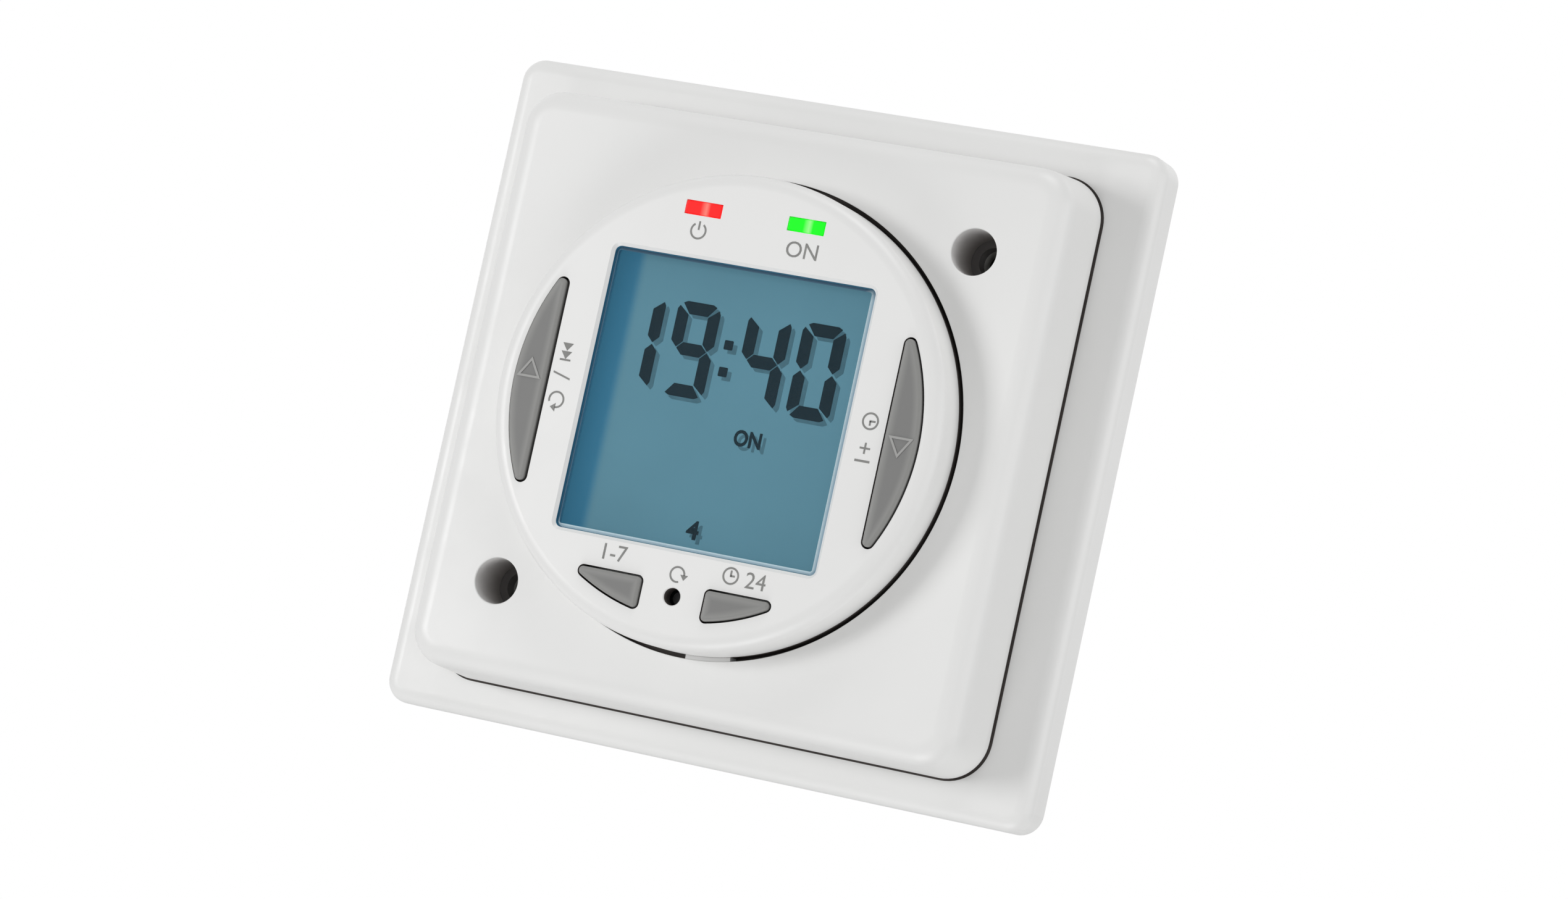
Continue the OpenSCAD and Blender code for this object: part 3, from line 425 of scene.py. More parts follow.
def wedge_key(grow):
    """Right-hand wedge key: flat on top and towards the middle, round below."""
    keys = settings("keys")
    r = keys.wedge_corner + grow
    big = keys.wedge_r + grow
    x = keys.wedge_x - grow + r
    y = grow - keys.wedge_y - r
    tip = math.sqrt((big - r) ** 2 - y * y)
    low = -math.sqrt((big - r) ** 2 - x * x)
    low_turn = 2 * math.pi + math.atan2(low, x)
    tip_turn = 2 * math.pi + math.atan2(y, tip)
    inner_side = arc(x, y, r, math.pi / 2, math.pi, 8) + arc(x, low, r, math.pi, low_turn, 8)
    outer_side = arc(0, 0, big, low_turn, tip_turn, 24) + arc(tip, y, r, tip_turn, 2.5 * math.pi, 8)
    return without_doubles(inner_side + outer_side)


def window(grow):
    sizes = settings("fascia")
    return rounded(sizes.window_w + 2 * grow, sizes.window_h + 2 * grow, sizes.window_corner + grow,
                   0, sizes.window_y, 6)


def opening(grow):
    """The housing's round opening."""
    return circle(0, 0, settings("fascia").opening_r + grow, ROUND_STEPS)


def housing_outline(grow):
    shell = settings("shell")
    side = shell.housing_side + 2 * grow
    return rounded(side, side, shell.housing_corner + grow, steps=14)


def wells():
    """The two places of the cover screws, on one diagonal."""
    shell = settings("shell")
    return [(side * shell.well_x, side * shell.well_y) for side in (-1, 1)]


def posts():
    """The four places of the case screws."""
    shell = settings("shell")
    return [(-shell.post_corner, shell.post_corner), (shell.post_corner, -shell.post_corner),
            (shell.post_edge, shell.post_y), (-shell.post_edge, -shell.post_y)]


def pillars():
    """The two places of the power board's screws."""
    case = settings("case")
    return [(side * case.pillar_x, case.pillar_y) for side in (-1, 1)]


def terminals():
    """The sideways places of the four wire terminals."""
    return [settings("case").pitch * (i - 1.5) for i in range(4)]


def quarter_turn(steps):
    return [i * math.pi / 2 / steps for i in range(steps + 1)]


def soft_section(r, level, turn=1):
    """Steps of a rounded edge from the side to a flat at a level, as pairs of grow and level.
    The flat faces the front for turn 1 and the back for turn -1. A last narrow step lies in the flat, so
    that the flat's own points keep their straight normals."""
    steps = [(-r * (1 - math.cos(at)), level - turn * (r - r * math.sin(at)))
             for at in quarter_turn(EDGE_STEPS)]
    return steps + [(-1.12 * r, level)]


def mouth_section(r, level):
    """Steps of the rounded mouth of a hole, from a narrow step in the flat into the hole."""
    steps = [(r * (1 - math.sin(at)), level - r * (1 - math.cos(at))) for at in quarter_turn(MOUTH_STEPS)]
    return [(1.2 * r, level)] + steps


class Form:
    """A closed mesh in the making: loops of points, bands between them and flats with holes."""

    def __init__(self):
        self.mesh = bmesh.new()

    def vertex(self, x, level, y):
        return self.mesh.verts.new((x * FINE, -level * FINE, y * FINE))

    def loop(self, points, level):
        return [self.vertex(x, level, y) for x, y in points]

    def band(self, first, second, finish=0):
        for i, start in enumerate(first):
            j = (i + 1) % len(first)
            self.mesh.faces.new((start, first[j], second[j], second[i])).material_index = finish

    def rows(self, outline, section, finish=0, start=None):
        """Loops of an outline through pairs of grow and level, after a start loop if there is one.
        Returns the first and the last loop."""
        loops = [start] if start else []
        loops += [self.loop(outline(grow), level) for grow, level in section]
        for first, second in zip(loops, loops[1:]):
            self.band(first, second, finish)
        return loops[0], loops[-1]

    def flat(self, *loops, finish=0):
        edges = []
        for loop in loops:
            for first, second in zip(loop, loop[1:] + loop[:1]):
                edges.append(self.mesh.edges.get((first, second)) or self.mesh.edges.new((first, second)))
        filled = bmesh.ops.triangle_fill(self.mesh, use_beauty=True, use_dissolve=False, edges=edges)
        faces = [item for item in filled["geom"] if isinstance(item, bmesh.types.BMFace)]
        if not faces:
            raise RuntimeError("A flat could not be filled")
        for face in faces:
            face.material_index = finish

    def solid(self, outline, section, finish=0):
        """A closed solid through pairs of grow and level, with a flat at each end."""
        for loop in self.rows(outline, section, finish):
            self.flat(loop, finish=finish)
        return self

    def prism(self, points, low, high, finish=0):
        """A closed solid over an outline."""
        return self.solid(lambda grow: points, [(0, low), (0, high)], finish)

    def box(self, x, y, w, h, low, high):
        """A closed block about a point."""
        return self.prism(rounded(w, h, 0, x, y, 1), low, high)

    def frame(self, outer, inner, low, high, finish=0):
        """A closed ring between two outlines."""
        loops = [self.loop(points, level) for points in (outer, inner) for level in (low, high)]
        self.band(loops[0], loops[1], finish)
        self.band(loops[2], loops[3], finish)
        self.flat(loops[0], loops[2], finish=finish)
        self.flat(loops[1], loops[3], finish=finish)

    def sweep(self, section, turn, span, finish=0, steps=8):
        """A closed solid: a section of radius and level pairs turned through a span about the middle."""
        loops = []
        for i in range(steps + 1):
            at = turn - span / 2 + span * i / steps
            loops.append([self.vertex(r * math.cos(at), level, r * math.sin(at)) for r, level in section])
        self.close(loops, finish)
        return self

    def close(self, loops, finish):
        """Bands between loops and a flat at each end."""
        for first, second in zip(loops, loops[1:]):
            self.band(first, second, finish)
        self.flat(loops[0], finish=finish)
        self.flat(loops[-1], finish=finish)

    def sector(self, inner, outer, low, high, turn, span, finish=0):
        """A block that is part of a ring about the middle."""
        return self.sweep([(inner, low), (outer, low), (outer, high), (inner, high)], turn, span, finish)

    def drill(self, x, level, section, steps=32):
        """A closed round solid that stands upright, through pairs of radius and height."""
        loops = [[self.vertex(px, py, y) for px, py in circle(x, level, r, steps)] for r, y in section]
        self.close(loops, 0)

    def piece(self, name, *finishes):
        bmesh.ops.recalc_face_normals(self.mesh, faces=self.mesh.faces[:])
        bmesh.ops.scale(self.mesh, vec=(MM, MM, MM), verts=self.mesh.verts[:])
        return smooth_piece(name, self.mesh, finishes)


def plain_mesh(item):
    """The evaluated mesh of an object, as a mesh of its own."""
    graph = bpy.context.evaluated_depsgraph_get()
    return bpy.data.meshes.new_from_object(item.evaluated_get(graph), preserve_all_data_layers=True,
                                           depsgraph=graph)


def settle(item):
    """Turn an object's modifiers into its plain mesh."""
    mesh = plain_mesh(item)
    item.modifiers.clear()
    old = item.data
    item.data = mesh
    mesh.name = item.name
    bpy.data.meshes.remove(old)
    return item


def new_object(name, mesh):
    item = bpy.data.objects.new(name, mesh)
    bpy.context.scene.collection.objects.link(item)
    return item


def smooth_piece(name, form, finishes):
    """An object with smooth shading, sharp edges by angle and normals that keep flats flat."""
    mesh = bpy.data.meshes.new(name)
    form.to_mesh(mesh)
    form.free()
    # Normals kept from an earlier smoothing would hide the real angles of the edges
    kept = mesh.attributes.get("custom_normal")
    if kept:
        mesh.attributes.remove(kept)
    for made in finishes:
        mesh.materials.append(made)
    mesh.shade_smooth()
    mesh.set_sharp_from_angle(angle=SHARP_ANGLE)
    item = new_object(name, mesh)
    weights = item.modifiers.new("Flat faces", "WEIGHTED_NORMAL")
    weights.keep_sharp = True
    weights.weight = 100
    return settle(item)


def joined(item, form, operation):
    """Add a form's solids to a piece, or take them away."""
    tool = form.piece("tool")
    cut = item.modifiers.new("Solid", "BOOLEAN")
    cut.object = tool
    cut.operation = operation
    cut.solver = "EXACT"
    settle(item)
    mesh = tool.data
    bpy.data.objects.remove(tool)
    bpy.data.meshes.remove(mesh)
    return item


def resmooth(item):
    """Merge a piece's double points and shade it anew."""
    form = bmesh.new()
    form.from_mesh(item.data)
    bmesh.ops.remove_doubles(form, verts=form.verts[:], dist=1e-7)
    finishes = list(item.data.materials)
    name = item.name
    old = item.data
    bpy.data.objects.remove(item)
    bpy.data.meshes.remove(old)
    return smooth_piece(name, form, finishes)


def place(item, body, slot, *nodes):
    """Hang a finished piece on its body and hide the nodes that it stands for. The slot, its finish, is not
    used.
    """
    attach(item, body)
    if nodes:
        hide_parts(*nodes)
    return item


class Nodes:
    """Nodes of a tree in the making."""

    def __init__(self, tree, family):
        self.nodes = tree.nodes
        self.links = tree.links
        self.family = family

    def node(self, kind, inputs=(), **values):
        made = self.nodes.new(kind if kind.startswith("Shader") else self.family + kind)
        for name, value in values.items():
            setattr(made, name, value)
        for name, value in dict(inputs).items():
            for part in value if isinstance(value, list) else [value]:
                if isinstance(part, bpy.types.NodeSocket):
                    self.links.new(part, made.inputs[name])
                else:
                    made.inputs[name].default_value = part
        return made

    def maths(self, operation, first, second):
        return self.node("ShaderNodeMath", {0: first, 1: second}, operation=operation).outputs[0]

    def point(self, x=0.0, y=0.0, z=0.0):
        return self.node("ShaderNodeCombineXYZ", {"X": x, "Y": y, "Z": z}).outputs["Vector"]


# Finishes


class Paint(Nodes):
    """A node material in the making. Patterns read Object coordinates."""

    def __init__(self, name):
        self.material = bpy.data.materials.new(name)
        self.material.use_nodes = True
        super().__init__(self.material.node_tree, "ShaderNode")
        self.shader = self.nodes["Principled BSDF"]
        self.at = self.node("TexCoord").outputs["Object"]

    def axes(self):
        """Places across, out of the front (backwards) and up."""
        return self.node("SeparateXYZ", {"Vector": self.at}).outputs

    def set(self, **values):
        for name, value in values.items():
            self.shader.inputs[name.replace("_", " ").title().replace("Ior", "IOR")].default_value = value
        return self

    def noise(self, millimetres, detail=2.0, stretch=(1, 1, 1)):
        at = self.at
        if stretch != (1, 1, 1):
            at = self.node("Mapping", {"Vector": at, "Scale": stretch}).outputs["Vector"]
        return self.node("TexNoise", {"Vector": at, "Scale": 1 / (millimetres * MM),
                                      "Detail": detail}).outputs["Fac"]

    def span(self, value, from_low, from_high, low, high, kind="LINEAR"):
        made = self.node("MapRange", {"Value": value, "From Min": from_low, "From Max": from_high,
                                      "To Min": low, "To Max": high}, interpolation_type=kind)
        return made.outputs["Result"]

    def cloud(self, base, spread, millimetres):
        """Faint patches of a tone."""
        return self.ramp(self.noise(millimetres, 3.0), (0.3, shade(base, 1 - spread)),
                         (0.7, shade(base, 1 + spread)))

    def gloss(self, millimetres, detail, low, high):
        """Uneven roughness between two values."""
        return self.to("Roughness", self.span(self.noise(millimetres, detail), 0.3, 0.7, low, high))

    def ramp(self, value, *stops):
        made = self.node("ValToRGB", {"Fac": value})
        marks = made.color_ramp.elements
        while len(marks) < len(stops):
            marks.new(0.5)
        for mark, (at, shade) in zip(marks, stops):
            mark.position = at
            mark.color = (*shade, 1)
        return made.outputs["Color"]

    def mix(self, share, first, second):
        made = self.node("Mix", {"Factor": share}, data_type="RGBA")
        for socket, value in ((made.inputs[6], first), (made.inputs[7], second)):
            if isinstance(value, bpy.types.NodeSocket):
                self.links.new(value, socket)
            else:
                socket.default_value = (*value, 1)
        return made.outputs[2]

    def to(self, socket, value):
        self.links.new(value, self.shader.inputs[socket])
        return self

    def bump(self, height, strength, millimetres):
        made = self.node("Bump", {"Height": height, "Strength": strength, "Distance": millimetres * MM})
        return self.to("Normal", made.outputs["Normal"])


def shade(value, factor):
    return tuple(min(1.0, part * factor) for part in value)


def moulded(name, base, rough, spread=0.02, grain=0.4, depth=0.006, patch=18.0):
    """Moulded plastic or rubber: faint patches of tone, uneven gloss and a fine grain."""
    paint = Paint(name)
    paint.to("Base Color", paint.cloud(base, spread, patch))
    paint.gloss(5.0, 4.0, rough - 0.05, rough + 0.05)
    paint.bump(paint.noise(grain, 2.0), 0.25, depth)
    return paint


def metal(name, base, rough, brush=(1, 1, 12)):
    """Drawn or plated metal: fine streaks in its tone and gloss."""
    paint = Paint(name).set(metallic=1.0)
    streak = paint.noise(0.9, 4.0, brush)
    paint.to("Base Color", paint.ramp(streak, (0.25, shade(base, 0.82)), (0.75, shade(base, 1.1))))
    paint.gloss(1.6, 4.0, rough - 0.08, rough + 0.1)
    paint.bump(streak, 0.15, 0.01)
    return paint


def shell_plastic():
    paint = moulded("white moulded plastic", settings("finishes").shell, 0.36, 0.012, 0.5, 0.004, 30.0)
    return paint.set(specular_ior_level=0.45).material


def well_shaded_plastic():
    """White plastic of the screw wells, with painted shade: darker towards their floor and darker still on
    the floor.
    """
    tones = settings("finishes")
    paint = moulded("screw well plastic", tones.well, 0.6)
    face = front_of("front_housing")
    floor = front_of("wall_plate") + settings("case").flange_t + settings("shell").well_floor
    depth = paint.span(paint.axes()["Y"], -face, -floor, 0.0, 1.0)
    tone = paint.ramp(depth, (0.0, tones.well), (0.9, tones.well_deep_shade), (0.98, tones.well_deep_shade),
                      (1.0, shade(tones.well_deep_shade, 0.4)))
    return paint.to("Base Color", tone).material


def key_rubber(name, near, big):
    """Rubber of a key with a painted highlight: lighter towards its straight edges and its round one of a
    big radius.
    """
    tones, k = settings("finishes"), settings("keys")
    paint = moulded(name, tones.key, 0.5, 0.03, 0.25, 0.01, 5.0).set(specular_ior_level=0.4)
    axes = paint.axes()
    across = paint.maths("ABSOLUTE", axes["X"], 0.0)
    reach = paint.node("VectorMath", {0: paint.point(axes["X"], axes["Z"])}, operation="LENGTH")
    outer = paint.maths("SUBTRACT", big, reach.outputs["Value"])
    edge = paint.maths("MINIMUM", paint.maths("SUBTRACT", across, near), outer)
    if big == k.wedge_r:
        edge = paint.maths("MINIMUM", edge, paint.maths("SUBTRACT", -k.wedge_y, axes["Z"]))
    # Painted highlight: the rubber turns to the lighter rim tone near the key's edges.
    share = paint.span(edge, 0.2 * k.rim_highlight_w, k.rim_highlight_w, 1.0, 0.0, "SMOOTHSTEP")
    cloud = paint.shader.inputs["Base Color"].links[0].from_socket
    return paint.to("Base Color", paint.mix(share, cloud, tones.key_rim_highlight)).material


def arc_rubber():
    return key_rubber("grey arc key rubber", settings("keys").arc_x, settings("keys").arc_r)


def wedge_rubber():
    return key_rubber("grey wedge key rubber", settings("keys").wedge_x, settings("keys").wedge_r)


def panel_glass():
    """Display panel: blue with a painted shadow of the window's edge as a band at the left, softly lit."""
    tones, f = settings("finishes"), settings("fascia")
    paint = Paint("display panel")
    axes = paint.axes()
    left = -f.window_w / 2
    band = settings("display").shadow_band
    # Painted shadow: the band at the left stands in for the shadow of the window's edge.
    side = paint.span(axes["X"], left + 0.7 * band, left + 1.2 * band, 1.0, 0.0, "SMOOTHSTEP")
    tone = paint.mix(side, paint.cloud(tones.panel, 0.03, 14.0), tones.panel_dark)
    paint.to("Base Color", paint.mix(0.35, tone, (0, 0, 0))).to("Emission Color", tone)
    return paint.set(roughness=0.5, emission_strength=0.57, specular_ior_level=0.1).material


def ink(name, tone, rough):
    """Printed or polarised film, or a film of painted shadow: a flat tone that is a little uneven."""
    paint = Paint(name).set(roughness=rough, specular_ior_level=0.05)
    return paint.to("Base Color", paint.cloud(tone, 0.08, 1.2)).material


def clear_lens():
    tone = settings("finishes").lens
    paint = Paint("clear window").set(base_color=(*tone, 1), alpha=0.06, ior=1.49, specular_ior_level=0.25)
    return paint.gloss(9.0, 3.0, 0.04, 0.1).material


def lens_rim_painted_light():
    """Bevelled edge of the clear window: a painted highlight at the right and below, painted shade at the
    left and above.
    """
    tones, f = settings("finishes"), settings("fascia")
    paint = Paint("window edge").set(roughness=0.2)
    axes = paint.axes()
    right = paint.maths("MULTIPLY", axes["X"], 2 / f.window_w)
    up = paint.maths("MULTIPLY", paint.maths("SUBTRACT", axes["Z"], f.window_y), 2 / f.window_h)
    # Painted highlight and shade: the side of the rim picks the bright or the dark tone.
    side = paint.span(paint.maths("SUBTRACT", right, up), -0.06, 0.06, 0.0, 1.0)
    return paint.to("Base Color", paint.mix(side, tones.lens_shade, tones.lens_rim_painted_light)).material


def light_pipe(name, tone, pale, middle):
    """Lit light pipe: a saturated glow with a painted highlight, a lighter upright band right of its middle.
    """
    paint = Paint(name)
    half = settings("keys").pipe_w / 2
    # Painted highlight: the band right of the middle is lighter than the glow.
    share = paint.span(paint.axes()["X"], middle - half, middle + half, 0.0, 1.0)
    glow_and_highlight = paint.ramp(share, (0.0, tone), (0.42, tone), (0.58, pale), (0.68, tone), (1.0, shade(tone, 0.9)))
    paint.to("Emission Color", glow_and_highlight).to("Base Color", glow_and_highlight)
    paint.set(roughness=0.25, emission_strength=0.5, specular_ior_level=0.15)
    return paint.material


def red_pipe():
    tones = settings("finishes")
    return light_pipe("lit red light pipe", tones.red, tones.red_highlight, -settings("keys").pipe_x)


def green_pipe():
    tones = settings("finishes")
    return light_pipe("lit green light pipe", tones.green, tones.green_highlight, settings("keys").pipe_x)


def board_lacquer():
    """Circuit board: green lacquer over a faint grid of tracks."""
    paint = Paint("green lacquered board")
    axes = paint.axes()
    tracks = paint.node("TexBrick", {"Vector": paint.point(axes["X"], axes["Z"]), "Scale": 1 / (5 * MM),
                                     "Mortar Size": 0.02, "Color1": (0.012, 0.10, 0.045, 1),
                                     "Color2": (0.014, 0.12, 0.05, 1), "Mortar": (0.03, 0.19, 0.085, 1)})
    paint.to("Base Color", tracks.outputs["Color"])
    paint.gloss(3.0, 3.0, 0.25, 0.4)
    paint.bump(tracks.outputs["Fac"], 0.2, 0.03)
    return paint.material


def smoked_cover():
    paint = moulded("blue relay cover", (0.05, 0.11, 0.24), 0.25, 0.06, 0.8, 0.005, 8.0)
    return paint.set(alpha=0.85).material


# Moulded finishes: name, tone or the name of one, roughness, spread, grain, depth and patch
MOULDED = {
    # The gap finish is painted shade inside gaps.
    "gap": ("dark inside of gaps", "gap", 0.7, 0.15, 0.6, 0.01, 4.0),
    "key_mark": ("raised key arrow", "key_mark", 0.5, 0.03),
    "grey_plastic": ("pale case plastic", "case", 0.45, 0.02, 0.5, 0.01, 20.0),
    # The display frame and the window's walls take the panel's painted shadow tone: painted shade that runs
    # on from the panel's band.
    "holder_plastic": ("dark blue display frame", "panel_dark", 0.5, 0.05, 0.4, 0.01, 6.0),
    "black_plastic": ("black plastic", (0.018, 0.018, 0.02), 0.45, 0.2, 0.4, 0.01),
    "mat_rubber": ("grey mat rubber", (0.34, 0.34, 0.33), 0.7, 0.06, 0.3, 0.02),
    "carbon": ("carbon contact", (0.025, 0.025, 0.027), 0.6, 0.25, 0.2, 0.02, 2.0),
    "diffuser": ("milky light guide", (0.80, 0.84, 0.85), 0.4, 0.03, 0.5, 0.01),
    "component_film": ("yellow film capacitor", (0.62, 0.44, 0.05), 0.35, 0.06, 0.6, 0.01, 6.0),
    "component_sleeve": ("dark component sleeve", (0.03, 0.05, 0.14), 0.3, 0.12, 0.5, 0.01, 6.0),
}
# Metals: name, tone, roughness and the stretch of the streaks where it isn't upright
METALS = {
    "steel": ("plated steel", (0.62, 0.63, 0.65), 0.3),
    "brass": ("brass", (0.72, 0.52, 0.20), 0.28),
    # Nearly black brass for the inserts at the bottom of the wells: painted shade, not the inserts' own
    # colour.
    "dull_brass": ("dull brass", (0.03, 0.026, 0.022), 0.7),
    "copper": ("copper wire", (0.78, 0.36, 0.18), 0.35, (1, 20, 1)),
}
# Inks: name, name of the tone and roughness
INKS = {
    "digit": ("dark display digits", "digit", 0.45),
    "shadow": ("shadow of the digits", "shadow", 0.45),
    "print": ("grey face print", "print_grey", 0.6),
}
SPECIAL = {
    "white_plastic": shell_plastic,
    "well": well_shaded_plastic,
    "key_rubber": arc_rubber,
    "wedge_rubber": wedge_rubber,
    "display_glass": panel_glass,
    "clear_lens": clear_lens,
    "lens_rim_painted_light": lens_rim_painted_light,
    "red_pipe": red_pipe,
    "green_pipe": green_pipe,
    "circuit_board": board_lacquer,
    "relay_cover": smoked_cover,
}
MADE = {}


def tone_of(tone):
    """A tone, or the finish setting of that name."""
    return getattr(settings("finishes"), tone) if isinstance(tone, str) else tone


def new_finish(name):
    if name in MOULDED:
        title, tone, *rest = MOULDED[name]
        return moulded(title, tone_of(tone), *rest).material
    if name in METALS:
        return metal(*METALS[name]).material
    if name in INKS:
        title, tone, rough = INKS[name]
        return ink(title, tone_of(tone), rough)
    return SPECIAL[name]()


def finish(name):
    if name not in MADE:
        MADE[name] = new_finish(name)
    return MADE[name]


# Operators


class TIMER_OT_stage(bpy.types.Operator):
    """Set up the camera, the soft studio light and the pale floor."""
    bl_idname = "timer.stage"
    bl_label = "Stage"

    def execute(self, context):
        stage = settings("stage")
        scene = context.scene
        scene.view_settings.view_transform = "Standard"
        self.camera(scene, stage)
        self.world(scene, stage)
        for side in ("left", "right", "top", "low"):
            self.light(scene, stage, side)
        self.floor(stage)
        return {"FINISHED"}

    def camera(self, scene, stage):
        data = bpy.data.cameras.new("photo camera")
        data.sensor_width = 36.0
        data.lens = stage.lens
        data.clip_start = 0.01
        item = bpy.data.objects.new("photo camera", data)
        item.location = stage.camera_at
        item.rotation_euler = stage.camera_turn
        scene.collection.objects.link(item)
        scene.camera = item

    def world(self, scene, stage):
        """Even light on the object, plain white where the camera or a reflection sees past it."""
        world = bpy.data.worlds.new("studio")
        scene.world = world
        world.use_nodes = True
        tree = Nodes(world.node_tree, "ShaderNode")
        light = tree.nodes["Background"]
        light.inputs["Color"].default_value = (1, 1, 1, 1)
        light.inputs["Strength"].default_value = stage.ambient
        seen = tree.node("Background", {"Color": (1, 1, 1, 1)})
        mix = tree.node("MixShader", {"Fac": seen_rays(tree), 1: light.outputs["Background"],
                                      2: seen.outputs["Background"]})
        tree.links.new(mix.outputs["Shader"], tree.nodes["World Output"].inputs["Surface"])

    def light(self, scene, stage, side):
        data = bpy.data.lights.new(side + " soft light", "AREA")
        data.energy = getattr(stage, side + "_light")
        data.shape = "SQUARE"
        data.size = getattr(stage, side + "_side")
        item = bpy.data.objects.new(data.name, data)
        item.location = getattr(stage, side + "_at")
        item.rotation_euler = (-item.location).to_track_quat("-Z", "Y").to_euler()
        scene.collection.objects.link(item)

    def floor(self, stage):
        """A floor that only seen rays meet, from above. Light from all round passes it to the plate."""
        form = Form()
        level = CAD_BOX[0][2] - stage.floor_gap
        form.flat([form.vertex(x, -y, level) for x, y in circle(0, 0, stage.floor_r, 96)])
        paint = Paint("pale floor").set(roughness=0.9)
        pale = settings("finishes").floor
        paint.to("Base Color", paint.ramp(paint.noise(120, 2.0), (0.3, shade(pale, 0.99)), (0.7, pale)))
        rays = seen_rays(paint)
        glow = paint.node("Emission", {"Strength": paint.maths("MULTIPLY", rays, stage.floor_glow)})
        both = paint.node("AddShader", {0: paint.shader.outputs["BSDF"], 1: glow.outputs["Emission"]})
        above = paint.maths("SUBTRACT", rays, paint.node("NewGeometry").outputs["Backfacing"])
        sided = paint.node("MixShader", {"Fac": above, 1: paint.node("BsdfTransparent").outputs["BSDF"],
                                         2: both.outputs["Shader"]})
        paint.links.new(sided.outputs["Shader"], paint.nodes["Material Output"].inputs["Surface"])
        floor = form.piece("floor", paint.material)
        if floor.data.polygons[0].normal.z < 0:
            floor.data.flip_normals()


def seen_rays(tree):
    """1 for rays from the camera, a reflection or a clear piece, and 0 for the light on the object."""
    path = tree.node("LightPath").outputs
    seen = tree.maths("MAXIMUM", path["Is Camera Ray"], path["Is Glossy Ray"])
    return tree.maths("MAXIMUM", seen, path["Is Transmission Ray"])


class TIMER_OT_plate(bpy.types.Operator):
    """Make the wall plate with its soft front edge, its opening, its ribs and its bosses."""
    bl_idname = "timer.plate"
    bl_label = "Wall plate"

    def execute(self, context):
        s, c = settings("shell"), settings("case")
        front, back = front_of("wall_plate"), back_of("wall_plate")
        hollow = front - s.plate_wall
        outer = lambda grow: rounded(s.plate_w + 2 * grow, s.plate_h + 2 * grow, s.plate_corner + grow)
        inner = rounded(s.plate_w - 2 * s.plate_wall, s.plate_h - 2 * s.plate_wall, s.plate_corner / 2)
        form = Form()
        back_edge = [(-s.soft, back), (0, back + s.soft)]
        first, last = form.rows(outer, back_edge + soft_section(s.plate_edge, front))
        low, high = form.loop(inner, back), form.loop(inner, hollow)
        form.band(low, high)
        form.flat(first, low)
        form.flat(high)
        # The seam groove and the plate under the housing take the gap finish, painted shade.
        line, under_housing = form.rows(housing_outline, [(s.seam, front), (s.seam, front - s.seam),
                                                          (-s.foot, front - s.seam), (-s.foot, front)], 1)
        form.flat(last, line)
        form.flat(under_housing, finish=1)
        plate = form.piece("wall_plate_shell", finish("white_plastic"), finish("gap"))
        collar = 2 * s.boss_wall
        solids = [rounded(c.case_w + collar, s.open_h + collar, s.open_corner + s.boss_wall)]
        holes = [(rounded(s.open_w, s.open_h, s.open_corner), back)]
        for side in (-1, 1):
            solids.append(circle(side * s.box_pitch / 2, 0, s.box_hole + s.boss_wall))
            holes.append((circle(side * s.box_pitch / 2, 0, s.box_hole), back))
        for x, y in wells():
            solids.append(circle(x, y, c.insert_r + s.boss_wall))
            holes.append((circle(x, y, c.insert_bore + 4 * BITE), back))
            holes.append((circle(x, y, c.insert_r), back_of("plate_inserts")))
        for points in solids:
            joined(plate, Form().prism(points, s.boss_back, hollow + BITE), "UNION")
        for points, level in holes:
            deep = level - s.plate_wall if level == back else level
            joined(plate, Form().prism(points, deep, front + s.plate_wall), "DIFFERENCE")
        place(resmooth(plate), "case", "white_plastic", "wall_plate")
        return {"FINISHED"}


